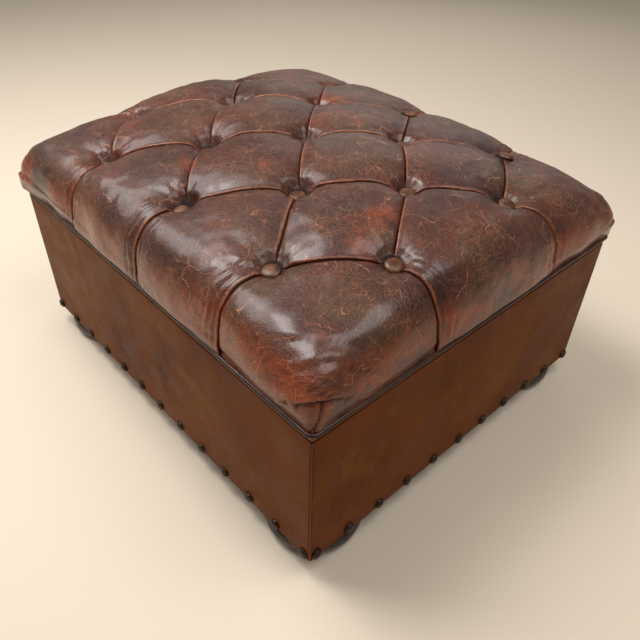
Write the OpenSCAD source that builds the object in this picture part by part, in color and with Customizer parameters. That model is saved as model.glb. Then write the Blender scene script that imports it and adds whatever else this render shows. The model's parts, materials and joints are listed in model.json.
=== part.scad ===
// Storage ottoman: a leather covered plywood box on bun feet, with a deep
// buttoned, domed lid that swings up on three butt hinges at the back.
// Origin: centre of the footprint on the floor. +X along the long side, the
// front is -Y, the hinged back is +Y, +Z up.

/* [Box] */
// Length of the box over its leather
box_len = 840; // [780:1:960]
// Depth of the box over its leather
box_dep = 713; // [670:1:780]
// Height of the leather covered skirt
skirt_h = 278; // [250:1:320]
// Thickness of the wall panels
panel_t = 18; // [12:1:20]
// Thickness of the base board
base_t = 12; // [9:1:15]
// Height of the underside of the box floor above the skirt's bottom edge
base_lift = 28; // [27:1:40]

/* [Covering] */
// Thickness of the leather
leather_t = 2.5; // [2:0.5:3]
// Thickness of the padding behind the side leather
batting_t = 5; // [3:1:6]
// Thickness of the lining cloth
lining_t = 1.5; // [1:0.5:2]

/* [Feet] */
// Height of the bun feet with their glides
foot_h = 40; // [36:1:60]
// Largest radius of a bun foot
foot_r = 82; // [70:1:88]
// Distance of a foot's centre from both outer faces
foot_inset = 80; // [80:1:90]

/* [Lid] */
// Gap between box and lid, which the bumpers keep
lid_gap = 3; // [2.5:0.1:4]
// Thickness of the lid board
lid_board_t = 16; // [15:1:18]
// Height of the dome at the middle button above the dome's rim
button_rise = 105; // [90:1:115]
// Height of the pillows above the buttons
pillow_rise = 23; // [16:1:28]
// How far the lid's cover stands proud of the box
lid_bulge = 9; // [8:0.5:12]
// Radius of the welt cord
welt_r = 4.4; // [4:0.1:4.4]
// Angle that the stays allow the lid to open
lid_open = 95; // [80:1:95]

/* [Tufting] */
// Distance between button columns
col_step = 113.5; // [110:0.5:115]
// Distance between button rows
row_step = 133; // [130:1:136]
// Radius of a covered button
button_r = 14.3; // [12:0.1:14.5]

/* [Nails] */
// Radius of a nail head
nail_r = 9.5; // [7:0.5:9.5]
// Number of nails along the front and the back
nails_long = 13; // [9:1:15]
// Number of nails along each end
nails_short = 11; // [7:1:13]
// Distance of the first nail from the corner
nail_inset = 14; // [13:0.5:30]
// Height of the nail centres above the skirt's bottom edge
nail_lift = 10; // [9.5:0.5:20]

/* [Hidden] */
$fn = 64;

// Half sizes of the box over its leather
hx = box_len / 2;
hy = box_dep / 2;
// Distance from the outer face in to the panel, through it, and to the well
panel_in = leather_t + batting_t;
panel_back_in = panel_in + panel_t;
well_in = panel_back_in + lining_t;
// Heights of the skirt, the box floor and the lid's underside
skirt_z0 = foot_h;
skirt_z1 = foot_h + skirt_h;
base_z = skirt_z0 + base_lift;
floor_z = base_z + base_t;
lid_z = skirt_z1 + lid_gap;
cloth_t = 1;

// Feet and their fixings
glide_t = 3;
glide_r = 45;
foot_top_z = skirt_z0 + leather_t - cloth_t;
foot_neck_r = 50;
foot_shoulder_r = 58;
foot_sole_r = 62;
stud_r = 4;
run_fit = 0.05;
block_size = 120;
tee_flange_r = 11;
tee_flange_t = 1.2;

// Lid layers, from the underside up
board_z = lid_z + cloth_t;
board_top = board_z + lid_board_t;
welt_z = lid_z + 11;
welt_out = 2;
welt_corner_r = welt_r + 0.2;
cover_z = welt_z + welt_r + 0.1;
widest_z = lid_z + 30;
rim_z = lid_z + 42;
rim_out = lid_bulge - 3;
cover_t = 2;
wadding_t = 6;
layer_gap = 0.3;
band_wrap = 22.5;

// Button seats: flat cells of the dome's grid, and the reach of each dimple
seat_half = 15;
dimple_r0 = 21.3;
dimple_r1 = 62;
button_lift = 0.7;
button_h = 7;

// Hand tufting: how far the button of column i and row j was sewn from its
// regular place, as [i, j, x, y, z]
tuft_moves = [
    [-2, -2, 8, -9, -12], [0, -2, 9, 0, -8], [2, -2, 2, 2, 0],
    [-3, -1, 0, -9, -8], [-1, -1, 7, -5, -10], [1, -1, 10, 7, -4], [3, -1, -4, 0, 2],
    [-2, 0, 6, 2, -6], [0, 0, 3, -2, -4], [2, 0, 8, 5, 0],
    [-3, 1, -7, -8, 0], [-1, 1, 3, 1, -1], [1, 1, -3, -3, 0], [3, 1, -4, -3, 0],
    [-2, 2, 0, 3, 0], [0, 2, 2, 9, 8], [2, 2, 5, 10, 8]
];

// Buttons, as [x, y, z above the dome through the regular places]
buttons = [for (m = tuft_moves) [m[0] * col_step + m[2], m[1] * row_step + m[3], m[4]]];

// Hinges: axis, knuckles and leaves
hinge_xs = [-275, 0, 275];
hinge_y = hy + 5;
hinge_z = skirt_z1 + lid_gap / 2;
hinge_len = 70;
knuckles = 5;
knuckle_r = 4;
knuckle_gap = 0.5;
pin_r = 1.75;
leaf_t = lid_gap / 2 - 0.25;
leaf_y0 = hy - 23;
leaf_y1 = hinge_y - knuckle_r - 0.5;
leaf_screw_y = hy - 15;
leaf_screw_r = 1.6;

// Lid stays: pivot on the lid and stud on the box lie on one circle round the
// hinge axis, so the arm turns by half of the lid's angle
stay_r = 105;
pivot_dip = 5;
stud_dip = 31;
pivot_y = hinge_y - stay_r * cos(pivot_dip);
pivot_z = hinge_z - stay_r * sin(pivot_dip);
stud_y = hinge_y - stay_r * cos(stud_dip);
stud_z = hinge_z - stay_r * sin(stud_dip);
slot_near = 2 * stay_r * sin((stud_dip - pivot_dip) / 2);
slot_far = 2 * stay_r * sin((stud_dip - pivot_dip + lid_open) / 2);
arm_angle = atan2(stud_z - pivot_z, stud_y - pivot_y);
arm_w = 14;
arm_t = 2.5;
stay_stud_r = 2.5;
slot_r = 2.75;
pivot_pin_r = 3;
wall_x = hx - well_in;
plate_t = 2.5;
arm_x = wall_x - plate_t - 1.5 - arm_t;
bracket_t = 3;
bracket_x = arm_x - 1;

// ---------------------------------------------------------------- helpers

module slab(x0, x1, y0, y1, z0, z1) {
    translate([x0, y0, z0]) cube([x1 - x0, y1 - y0, z1 - z0]);
}

// A slab centred on the vertical axis, drawn in by inset on all four sides
module centred_slab(inset, z0, z1) {
    slab(inset - hx, hx - inset, inset - hy, hy - inset, z0, z1);
}

module both_ends() {
    children();
    mirror([1, 0, 0]) children();
}

module at_corners(x, y) {
    for (sx = [-1, 1]) for (sy = [-1, 1]) translate([sx * x, sy * y, 0]) children();
}

// Countersunk screw pointing down from its head's flat face at z = 0
module flat_screw(r, head_r, head_h, len) {
    translate([0, 0, -head_h]) cylinder(h = head_h, r1 = r, r2 = head_r);
    translate([0, 0, -len]) cylinder(h = len - head_h / 2, r = r);
}

// Round headed screw pointing down, its head standing on z = 0
module pan_screw(r, head_r, head_h, len) {
    cylinder(h = head_h, r = head_r);
    translate([0, 0, -len]) cylinder(h = len, r = r);
}

// ------------------------------------------------------------- plywood box

module panel_long(side) {
    y0 = hy - panel_back_in;
    color("burlywood")
        scale([1, side, 1])
            slab(panel_in - hx, hx - panel_in, y0, y0 + panel_t,
                 skirt_z0 + leather_t, skirt_z1 - leather_t);
}

module panel_short(side) {
    x0 = hx - panel_back_in;
    color("burlywood")
        scale([side, 1, 1])
            slab(x0, x0 + panel_t, panel_back_in - hy, hy - panel_back_in,
                 skirt_z0 + leather_t, skirt_z1 - leather_t);
}

module base_board() {
    color("burlywood") centred_slab(panel_back_in, base_z, floor_z);
}

// Blocks in the bottom corners that carry the base board and the tee nuts
module corner_blocks() {
    bx = hx - panel_back_in - block_size;
    by = hy - panel_back_in - block_size;
    color("tan")
        for (sx = [-1, 1]) for (sy = [-1, 1])
            difference() {
                scale([sx, sy, 1])
                    slab(bx, bx + block_size, by, by + block_size, skirt_z0 + leather_t, base_z);
                translate([sx * (hx - foot_inset), sy * (hy - foot_inset), 0]) {
                    cylinder(h = base_z + 1, r = stud_r + 1 + run_fit);
                    translate([0, 0, base_z - tee_flange_t - 0.1])
                        cylinder(h = 2, r = tee_flange_r + 0.2);
                }
            }
}

// Screws through the long panels into the ends of the short ones
module frame_screws() {
    x = hx - panel_in - panel_t / 2;
    color("silver")
        for (sx = [-1, 1]) for (sy = [-1, 1]) for (k = [0 : 2])
            translate([sx * x, sy * (hy - panel_in), skirt_z0 + 48 + 85 * k])
                rotate([-90 * sy, 0, 0]) flat_screw(2.2, 4.4, 3, 50);
}

module side_batting() {
    color("ivory")
        difference() {
            centred_slab(leather_t, skirt_z0 + leather_t, skirt_z1 - leather_t);
            centred_slab(panel_in, skirt_z0, skirt_z1);
        }
}

// Leather round the whole box, turned in over the top and bottom edges
module leather_wrap() {
    difference() {
        centred_slab(0, skirt_z0, skirt_z1);
        centred_slab(leather_t, skirt_z0 + leather_t, skirt_z1 - leather_t);
        centred_slab(well_in, skirt_z0 - 1, skirt_z1 + 1);
    }
}

// One long side of the leather, mitred at the corner seams
module leather_long(side) {
    reach = hy + 1;
    color([0.36, 0.21, 0.12])
        intersection() {
            leather_wrap();
            scale([1, side, 1])
                translate([0, 0, skirt_z0 - 1])
                    linear_extrude(skirt_h + 2)
                        polygon([[-hx - 1, reach], [hy - hx, 0], [hx - hy, 0], [hx + 1, reach]]);
        }
}

// One short side of the leather, mitred at the corner seams
module leather_short(side) {
    reach = hy + 1;
    color([0.33, 0.19, 0.10])
        intersection() {
            leather_wrap();
            scale([side, 1, 1])
                translate([0, 0, skirt_z0 - 1])
                    linear_extrude(skirt_h + 2)
                        polygon([[hx + 1, -reach], [hx + 1, reach], [hx - hy, 0]]);
        }
}

module lining_walls() {
    color("dimgray")
        difference() {
            centred_slab(panel_back_in, floor_z + lining_t, skirt_z1 - leather_t);
            centred_slab(well_in, floor_z, skirt_z1);
        }
}

module lining_floor() {
    color("dimgray") centred_slab(panel_back_in, floor_z, floor_z + lining_t);
}

module dust_cover() {
    color([0.1, 0.1, 0.1])
        difference() {
            centred_slab(well_in + 0.5, foot_top_z, foot_top_z + cloth_t);
            at_corners(hx - foot_inset, hy - foot_inset)
                translate([0, 0, foot_top_z - 1]) cylinder(h = cloth_t + 2, r = stud_r + 0.5);
        }
}

// ------------------------------------------------------------------- feet

// Flattened bun with a short neck that reaches into the skirt's open bottom
module bun_foot(sx, sy) {
    shoulder_z = skirt_z0 - 0.3;
    mid_z = (glide_t + shoulder_z) / 2;
    half_h = (shoulder_z - glide_t) / 2;
    steps = 10;
    crown = [
        for (k = [0 : steps])
            let (a = -90 + 180 * k / steps, end_r = a < 0 ? foot_sole_r : foot_shoulder_r)
                [end_r + (foot_r - end_r) * cos(a), mid_z + half_h * sin(a)]
    ];
    neck = [[foot_neck_r, shoulder_z], [foot_neck_r, foot_top_z], [0, foot_top_z]];
    color([0.10, 0.07, 0.05])
        translate([sx * (hx - foot_inset), sy * (hy - foot_inset), 0])
            difference() {
                rotate_extrude($fn = 96) polygon(concat([[0, glide_t]], crown, neck));
                translate([0, 0, 14]) cylinder(h = foot_h, r = stud_r + run_fit);
            }
}

module foot_glides() {
    color("dimgray")
        at_corners(hx - foot_inset, hy - foot_inset) cylinder(h = glide_t, r = glide_r);
}

module foot_studs() {
    color("silver")
        at_corners(hx - foot_inset, hy - foot_inset)
            translate([0, 0, 15]) cylinder(h = base_z - 2 - 15, r = stud_r);
}

module tee_nuts() {
    color("silver")
        at_corners(hx - foot_inset, hy - foot_inset)
            difference() {
                union() {
                    translate([0, 0, base_z - 12]) cylinder(h = 12 - tee_flange_t, r = stud_r + 1);
                    translate([0, 0, base_z - tee_flange_t])
                        cylinder(h = tee_flange_t, r = tee_flange_r);
                }
                translate([0, 0, base_z - 13]) cylinder(h = 14, r = stud_r + run_fit);
            }
}

// ------------------------------------------------------------------ nails

// Domed nail standing on z = 0 with its shank below
module nail() {
    rise = 5.5;
    ball_r = (nail_r * nail_r + rise * rise) / (2 * rise);
    intersection() {
        translate([0, 0, rise - ball_r]) sphere(r = ball_r);
        cylinder(h = rise + 1, r = nail_r);
    }
    translate([0, 0, -12.4]) cylinder(h = 12.9, r = 1.2);
}

module nails_along_x(side) {
    pitch = (box_len - 2 * nail_inset) / (nails_long - 1);
    color([0.25, 0.19, 0.14])
        for (k = [0 : nails_long - 1])
            translate([nail_inset - hx + k * pitch, side * hy, skirt_z0 + nail_lift])
                rotate([-90 * side, 0, 0]) nail();
}

module nails_along_y(side) {
    pitch = (box_dep - 2 * nail_inset) / (nails_short - 1);
    color([0.25, 0.19, 0.14])
        for (k = [0 : nails_short - 1])
            translate([side * hx, nail_inset - hy + k * pitch, skirt_z0 + nail_lift])
                rotate([0, 90 * side, 0]) nail();
}

module lid_bumpers() {
    color([0.1, 0.1, 0.1])
        at_corners(hx - 14, hy - 60)
            translate([0, 0, skirt_z1]) cylinder(h = lid_gap - 0.1, r = 8);
}

// ----------------------------------------------------------------- hinges

// Knuckles of one leaf: the even ones or the odd ones
module knuckle_set(first, tab_z0, tab_z1) {
    pitch = hinge_len / knuckles;
    len = pitch - knuckle_gap;
    for (k = [first : 2 : knuckles - 1])
        translate([-hinge_len / 2 + k * pitch + knuckle_gap / 2, 0, 0]) {
            translate([0, hinge_y, hinge_z]) rotate([0, 90, 0]) cylinder(h = len, r = knuckle_r);
            slab(0, len, leaf_y1 - 1, hinge_y, tab_z0, tab_z1);
        }
}

module hinge_leaf(first, z0, z1, screw_xs, up) {
    difference() {
        union() {
            slab(-hinge_len / 2, hinge_len / 2, leaf_y0, leaf_y1, z0, z1);
            knuckle_set(first, z0, z1);
        }
        translate([-hinge_len, hinge_y, hinge_z])
            rotate([0, 90, 0]) cylinder(h = 2 * hinge_len, r = pin_r + run_fit);
        for (x = screw_xs)
            translate([x, leaf_screw_y, z0])
                cylinder(h = leaf_t, r1 = leaf_screw_r + run_fit + (up ? leaf_t : 0),
                         r2 = leaf_screw_r + run_fit + (up ? 0 : leaf_t));
    }
}

module hinge_box_leaves() {
    color([0.55, 0.45, 0.25])
        for (x = hinge_xs)
            translate([x, 0, 0]) hinge_leaf(0, skirt_z1, skirt_z1 + leaf_t, [-25, 0, 25], false);
}

module hinge_lid_leaves() {
    color([0.55, 0.45, 0.25])
        for (x = hinge_xs) translate([x, 0, 0]) hinge_leaf(1, lid_z - leaf_t, lid_z, [-14, 14], true);
}

module hinge_pins() {
    color([0.55, 0.45, 0.25])
        for (x = hinge_xs)
            translate([x - hinge_len / 2 - 1.5, hinge_y, hinge_z])
                rotate([0, 90, 0]) {
                    cylinder(h = 1.5, r = knuckle_r - 1);
                    cylinder(h = hinge_len + 2, r = pin_r);
                }
}

module hinge_box_screws() {
    color([0.55, 0.45, 0.25])
        for (x = hinge_xs) for (dx = [-25, 0, 25])
            translate([x + dx, leaf_screw_y, skirt_z1 + leaf_t])
                flat_screw(leaf_screw_r, leaf_screw_r + leaf_t, leaf_t, 18);
}

module hinge_lid_screws() {
    color([0.55, 0.45, 0.25])
        for (x = hinge_xs) for (dx = [-14, 14])
            translate([x + dx, leaf_screw_y, lid_z - leaf_t])
                rotate([180, 0, 0]) flat_screw(leaf_screw_r, leaf_screw_r + leaf_t, leaf_t, 14);
}

// -------------------------------------------------------------- lid stays

// A disc or rod lying along X, its low end at x
module rod_x(x, y, z, len, r) {
    translate([x, y, z]) rotate([0, 90, 0]) cylinder(h = len, r = r);
}

plate_screw_dz = 17;

module stay_wall_plates() {
    color("silver")
        both_ends()
            difference() {
                union() {
                    slab(wall_x - plate_t, wall_x, stud_y - 12, stud_y + 12, stud_z - 24, stud_z + 24);
                    rod_x(arm_x - 0.6, stud_y, stud_z, wall_x - arm_x, stay_stud_r);
                    rod_x(arm_x - 3, stud_y, stud_z, 2.4, 6);
                }
                for (s = [-1, 1])
                    rod_x(wall_x - 5, stud_y, stud_z + s * plate_screw_dz, 6, 2 + run_fit);
            }
}

module stay_plate_screws() {
    color("silver")
        both_ends()
            for (s = [-1, 1])
                translate([wall_x - plate_t, stud_y, stud_z + s * plate_screw_dz])
                    rotate([0, -90, 0]) pan_screw(2, 3.6, 0.6, 17);
}

bracket_screw_x = bracket_x - 13;

module stay_lid_brackets() {
    y0 = pivot_y - 25;
    y1 = pivot_y + 25;
    color("silver")
        both_ends()
            difference() {
                union() {
                    slab(bracket_x - 20, bracket_x, y0, y1, lid_z - 2.5, lid_z);
                    slab(bracket_x - bracket_t, bracket_x, pivot_y - 10, pivot_y + 10,
                         pivot_z, lid_z - 1);
                    rod_x(bracket_x - bracket_t, pivot_y, pivot_z, bracket_t, 10);
                    rod_x(bracket_x - 1, pivot_y, pivot_z, arm_t + 2.4, pivot_pin_r);
                    rod_x(arm_x + arm_t + 0.3, pivot_y, pivot_z, 1.8, 5);
                }
                for (s = [-1, 1])
                    translate([bracket_screw_x, pivot_y + s * 16, lid_z - 4])
                        cylinder(h = 6, r = 2 + run_fit);
            }
}

module stay_bracket_screws() {
    color("silver")
        both_ends()
            for (s = [-1, 1])
                translate([bracket_screw_x, pivot_y + s * 16, lid_z - 2.5])
                    rotate([180, 0, 0]) pan_screw(2, 3.6, 1.5, 15);
}

// Slotted arm, hung from the lid's pivot and sliding over the box's stud
module stay_arm(side) {
    hole_to_end = slot_far + slot_r + 6;
    color("silver")
        scale([side, 1, 1])
            translate([arm_x, pivot_y, pivot_z])
                rotate([arm_angle, 0, 0])
                    difference() {
                        union() {
                            rod_x(0, 0, 0, arm_t, arm_w / 2);
                            slab(0, arm_t, 0, hole_to_end, -arm_w / 2, arm_w / 2);
                            rod_x(0, hole_to_end, 0, arm_t, arm_w / 2);
                        }
                        rod_x(-1, 0, 0, arm_t + 2, pivot_pin_r + run_fit);
                        rod_x(-1, slot_near, 0, arm_t + 2, slot_r);
                        rod_x(-1, slot_far, 0, arm_t + 2, slot_r);
                        slab(-1, arm_t + 1, slot_near, slot_far, -slot_r, slot_r);
                    }
}

// -------------------------------------------------------------- lid board

module lid_board() {
    color("burlywood")
        difference() {
            centred_slab(leather_t, board_z, board_top);
            for (b = buttons)
                translate([b[0], b[1], 0]) {
                    translate([0, 0, board_z - 1]) cylinder(h = lid_board_t + 2, r = 3);
                    translate([0, 0, board_z - 1]) cylinder(h = 4, r = 9);
                }
        }
}

module lid_lining() {
    color("dimgray") centred_slab(band_wrap + 0.5, lid_z, board_z);
}

// Leather band below the welt, turned in under the board
module lid_band() {
    color([0.30, 0.16, 0.09])
        difference() {
            centred_slab(0, lid_z, welt_z - welt_r - 0.1);
            centred_slab(leather_t, board_z, board_top);
            centred_slab(band_wrap, lid_z - 1, board_top);
        }
}

// Piped cord round the lid: straight runs and quarter rings at the corners
module lid_welt() {
    run_x = hx + welt_out - welt_corner_r;
    run_y = hy + welt_out - welt_corner_r;
    color([0.28, 0.15, 0.09])
        translate([0, 0, welt_z])
            union() {
                for (s = [-1, 1]) {
                    translate([-run_x, s * (hy + welt_out), 0])
                        rotate([0, 90, 0]) cylinder(h = 2 * run_x, r = welt_r, $fn = 32);
                    translate([s * (hx + welt_out), -run_y, 0])
                        rotate([-90, 0, 0]) cylinder(h = 2 * run_y, r = welt_r, $fn = 32);
                }
                for (q = [[1, 1, 0], [-1, 1, 90], [-1, -1, 180], [1, -1, 270]])
                    translate([q[0] * run_x, q[1] * run_y, 0])
                        rotate([0, 0, q[2]])
                            rotate_extrude(angle = 90)
                                translate([welt_corner_r, 0]) circle(r = welt_r, $fn = 32);
            }
}

// ----------------------------------------------------- domed, tufted top

// Gentle fall towards a border, and a steep drop at it
function falloff(u, drop, power) =
    (1 - drop * pow(abs(u), power)) * sqrt(max(0, 1 - pow(abs(u), 14)));

// Dome through the button seats, above the rim
function seat_dome(x, y) =
    rim_z + button_rise * falloff(x / (hx + rim_out), 0.38, 2.9)
                        * falloff(y / (hy + rim_out), 0.48, 1.74);

// Height of the seat of a button
function seat_z(b) = seat_dome(b[0], b[1]) + b[2];

// How far a corner of a seat has moved with its button; nothing for other points
function seat_move(x, y) = let (
    i = round(x / col_step),
    j = round(y / row_step),
    off = max(abs(abs(x - i * col_step) - seat_half), abs(abs(y - j * row_step) - seat_half)),
    found = [for (m = tuft_moves) if (m[0] == i && m[1] == j && off < 0.01) [m[2], m[3], m[4]]]
) len(found) > 0 ? found[0] : [0, 0, 0];

function smooth(u) = let (c = min(1, max(0, u))) c * c * (3 - 2 * c);

function nearest_button(x, y) = min([for (b = buttons) norm([x - b[0], y - b[1]])]);

// Pillows swell between the buttons and die away at the rim
function pillow(x, y) =
    pillow_rise * smooth((nearest_button(x, y) - dimple_r0) / (dimple_r1 - dimple_r0))
    * falloff(x / (hx + rim_out), 0, 1) * falloff(y / (hy + rim_out), 0, 1);

// Grid lines of the dome: both edges of every button seat, two lines between
// seats, and closer lines towards the rim
function grid_lines(count, step, half) = let (
    outer = count * step + seat_half,
    room = half - outer,
    border = [for (u = [0.3, 0.62, 0.84, 0.96, 1]) outer + room * u],
    seats = [
        for (i = [-count : count]) each concat(
            [i * step - seat_half, i * step + seat_half],
            i < count ? [i * step + 0.31 * step, i * step + 0.69 * step] : [])
    ]
) concat([for (k = [4 : -1 : 0]) -border[k]], seats, border);

grid_x = grid_lines(3, col_step, hx + rim_out);
grid_y = grid_lines(2, row_step, hy + rim_out);
nx = len(grid_x);
ny = len(grid_y);

function id(i, j) = i * ny + j;

rim_ids = concat(
    [for (i = [0 : nx - 1]) id(i, 0)],
    [for (j = [1 : ny - 1]) id(nx - 1, j)],
    [for (i = [nx - 2 : -1 : 0]) id(i, ny - 1)],
    [for (j = [ny - 2 : -1 : 1]) id(0, j)]
);
rim_count = len(rim_ids);
skin_count = nx * ny + 2 * rim_count;

// Points of the dome's skin drawn in by inset: the grid, the widest ring and
// the bottom ring
function skin_points(inset, bottom) = let (
    kx = 1 - inset / (hx + rim_out),
    ky = 1 - inset / (hy + rim_out),
    top = [
        for (x = grid_x) for (y = grid_y)
            let (move = seat_move(x, y), px = x + move[0], py = y + move[1])
                [px * kx, py * ky, seat_dome(px, py) + pillow(px, py) + move[2] - inset]
    ],
    ring = function (out, z) [
        for (r = rim_ids) [
            top[r][0] * (hx + out - inset) / (hx + rim_out - inset),
            top[r][1] * (hy + out - inset) / (hy + rim_out - inset),
            z
        ]
    ]
) concat(top, ring(lid_bulge, widest_z), ring(0, bottom));

// Faces of a skin, seen from outside; base is the number of its first point
function skin_faces(base) = concat(
    [
        for (i = [0 : nx - 2]) for (j = [0 : ny - 2]) each [
            [base + id(i, j), base + id(i, j + 1), base + id(i + 1, j + 1)],
            [base + id(i, j), base + id(i + 1, j + 1), base + id(i + 1, j)]
        ]
    ],
    [
        for (k = [0 : rim_count - 1]) let (
            n = (k + 1) % rim_count,
            mid = base + nx * ny,
            low = mid + rim_count
        ) each [
            [base + rim_ids[k], base + rim_ids[n], mid + n],
            [base + rim_ids[k], mid + n, mid + k],
            [mid + k, mid + n, low + n],
            [mid + k, low + n, low + k]
        ]
    ]
);

function flipped(faces) = [for (f = faces) [f[2], f[1], f[0]]];

// Closed shell between two skins
module dome_shell(outer, inner, bottom) {
    low = skin_count - rim_count;
    ledge = [
        for (k = [0 : rim_count - 1]) let (n = (k + 1) % rim_count) each [
            [low + k, low + n, skin_count + low + n],
            [low + k, skin_count + low + n, skin_count + low + k]
        ]
    ];
    polyhedron(
        points = concat(skin_points(outer, bottom), skin_points(inner, bottom)),
        faces = concat(skin_faces(0), flipped(skin_faces(skin_count)), ledge)
    );
}

module lid_cover() {
    color([0.35, 0.15, 0.11]) dome_shell(0, cover_t, cover_z);
}

module lid_batting() {
    outer = cover_t + layer_gap;
    color("ivory") dome_shell(outer, outer + wadding_t, board_top + layer_gap);
}

module lid_foam() {
    inset = cover_t + wadding_t + 2 * layer_gap;
    low = skin_count - rim_count;
    underside = [for (k = [0 : rim_count - 1]) [low + k, low + (k + 1) % rim_count, skin_count]];
    color("khaki")
        polyhedron(
            points = concat(skin_points(inset, board_top), [[0, 0, board_top]]),
            faces = concat(skin_faces(0), underside)
        );
}

// Slopes of the dome at a button, as angles
function slope_x(b) = atan((seat_dome(b[0] + 1, b[1]) - seat_dome(b[0] - 1, b[1])) / 2);
function slope_y(b) = atan((seat_dome(b[0], b[1] + 1) - seat_dome(b[0], b[1] - 1)) / 2);

// Leather covered buttons, lying square to the dome
module tuft_buttons() {
    edge = 2;
    steps = 8;
    crown = [
        for (k = [0 : steps])
            let (a = 90 * k / steps) [button_r * cos(a), edge + (button_h - edge) * sin(a)]
    ];
    color([0.30, 0.14, 0.09])
        for (b = buttons)
            translate([b[0], b[1], seat_z(b) + button_lift])
                rotate([slope_y(b), -slope_x(b), 0])
                    rotate_extrude($fn = 48) polygon(concat([[0, 0], [button_r - 1, 0]], crown));
}

// Waxed twine from each button down to its washer
module tuft_ties() {
    bottom = board_z + 1.1;
    color("wheat")
        for (b = buttons)
            translate([b[0], b[1], bottom])
                cylinder(h = seat_z(b) - 0.5 - bottom, r = 1, $fn = 24);
}

module tie_washers() {
    color("silver")
        for (b = buttons)
            translate([b[0], b[1], board_z + 1.2])
                difference() {
                    cylinder(h = 1.5, r = 8);
                    translate([0, 0, -1]) cylinder(h = 4, r = 1.2, $fn = 24);
                }
}

panel_long(-1);  // panel_front
panel_long(1);  // panel_back
panel_short(-1);  // panel_left
panel_short(1);  // panel_right
base_board();
corner_blocks();
frame_screws();
side_batting();
leather_long(-1);  // leather_front
leather_long(1);  // leather_back
leather_short(-1);  // leather_left
leather_short(1);  // leather_right
lining_walls();
lining_floor();
dust_cover();
bun_foot(-1, -1);  // foot_front_left
bun_foot(1, -1);  // foot_front_right
bun_foot(-1, 1);  // foot_back_left
bun_foot(1, 1);  // foot_back_right
foot_glides();
foot_studs();
tee_nuts();
nails_along_x(-1);  // nails_front
nails_along_x(1);  // nails_back
nails_along_y(-1);  // nails_left
nails_along_y(1);  // nails_right
lid_bumpers();
hinge_box_leaves();
hinge_pins();
hinge_box_screws();
stay_wall_plates();
stay_plate_screws();
lid_board();
lid_foam();
lid_batting();
lid_cover();
lid_welt();
lid_band();
lid_lining();
tuft_buttons();
tuft_ties();
tie_washers();
hinge_lid_leaves();
hinge_lid_screws();
stay_lid_brackets();
stay_bracket_screws();
stay_arm(-1);  // stay_arm_left
stay_arm(1);  // stay_arm_right
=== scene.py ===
"""Looks of the storage ottoman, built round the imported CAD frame. All lengths are in metres."""

import itertools
import json
import math

import bmesh
import bpy
import numpy as np
from mathutils import Matrix, Vector


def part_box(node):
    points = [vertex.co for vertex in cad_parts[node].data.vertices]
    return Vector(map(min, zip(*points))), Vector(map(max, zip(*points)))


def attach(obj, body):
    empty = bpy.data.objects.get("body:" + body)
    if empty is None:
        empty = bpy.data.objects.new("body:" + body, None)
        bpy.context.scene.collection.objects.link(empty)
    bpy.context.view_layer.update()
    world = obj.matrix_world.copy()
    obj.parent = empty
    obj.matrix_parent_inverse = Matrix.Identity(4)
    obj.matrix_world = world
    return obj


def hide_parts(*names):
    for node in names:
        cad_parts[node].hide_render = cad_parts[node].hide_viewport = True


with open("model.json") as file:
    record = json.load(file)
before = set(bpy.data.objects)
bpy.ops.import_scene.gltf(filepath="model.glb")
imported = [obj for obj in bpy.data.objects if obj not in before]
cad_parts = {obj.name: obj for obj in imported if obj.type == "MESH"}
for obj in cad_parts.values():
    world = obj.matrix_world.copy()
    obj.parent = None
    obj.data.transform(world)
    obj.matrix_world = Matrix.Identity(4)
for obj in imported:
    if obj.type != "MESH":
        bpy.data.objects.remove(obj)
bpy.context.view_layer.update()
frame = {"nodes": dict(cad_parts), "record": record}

MM = 0.001
NODES = frame["nodes"]

# ------------------------------------------------------------ sizes from the frame

leather_lo, leather_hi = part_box("leather_front")
HALF_X = leather_hi.x
HALF_Y = -leather_lo.y
SKIRT_Z0 = leather_lo.z
SKIRT_Z1 = leather_hi.z
cover_lo, cover_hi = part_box("lid_cover")
WIDE_X = cover_hi.x
WIDE_Y = cover_hi.y
COVER_Z0 = cover_lo.z
RIM_X = WIDE_X - 1 * MM
RIM_Y = WIDE_Y - 1 * MM
band_lo, band_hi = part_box("lid_band")
LID_Z = band_lo.z
RIM_Z = LID_Z + 42 * MM
welt_lo, welt_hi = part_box("lid_welt")
WELT_R = (welt_hi.z - welt_lo.z) / 2
WELT_Z = (welt_hi.z + welt_lo.z) / 2


def mesh_points(node):
    """Vertices of a CAD node as an array."""
    co = np.zeros(len(NODES[node].data.vertices) * 3)
    NODES[node].data.vertices.foreach_get("co", co)
    return co.reshape(-1, 3)


def solids(node):
    """Points of each separate solid of a grouped CAD node, from front left to back right."""
    me = NODES[node].data
    points = mesh_points(node)
    parent = list(range(len(points)))

    def root(i):
        while parent[i] != i:
            parent[i] = parent[parent[i]]
            i = parent[i]
        return i

    keys = {}
    for i, p in enumerate(points):
        key = tuple(np.round(p, 6))
        if key in keys:
            parent[root(i)] = root(keys[key])
        else:
            keys[key] = i
    for e in me.edges:
        parent[root(e.vertices[0])] = root(e.vertices[1])
    groups = {}
    for i in range(len(points)):
        groups.setdefault(root(i), []).append(i)
    found = [points[g] for g in groups.values()]
    return sorted(found, key=lambda g: (round(g[:, 1].mean(), 3), round(g[:, 0].mean(), 3)))


# ------------------------------------------------------------------- small helpers


def smooth(u):
    u = np.clip(u, 0, 1)
    return u * u * (3 - 2 * u)


def ramp(x, start, length):
    """Smooth step of x, from 0 at start to 1 at a length further."""
    return smooth((x - start) / length)


def bell(x, width, power=2):
    """1 where x is 0, and less with every width away from it."""
    return np.exp(-((x / width) ** power))


def raised(xy, z):
    """Points from their plan and their heights, which may be the same for many of them."""
    z = np.broadcast_to(z, xy.shape[:-1])
    return np.concatenate([xy, z[..., None]], -1)


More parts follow.
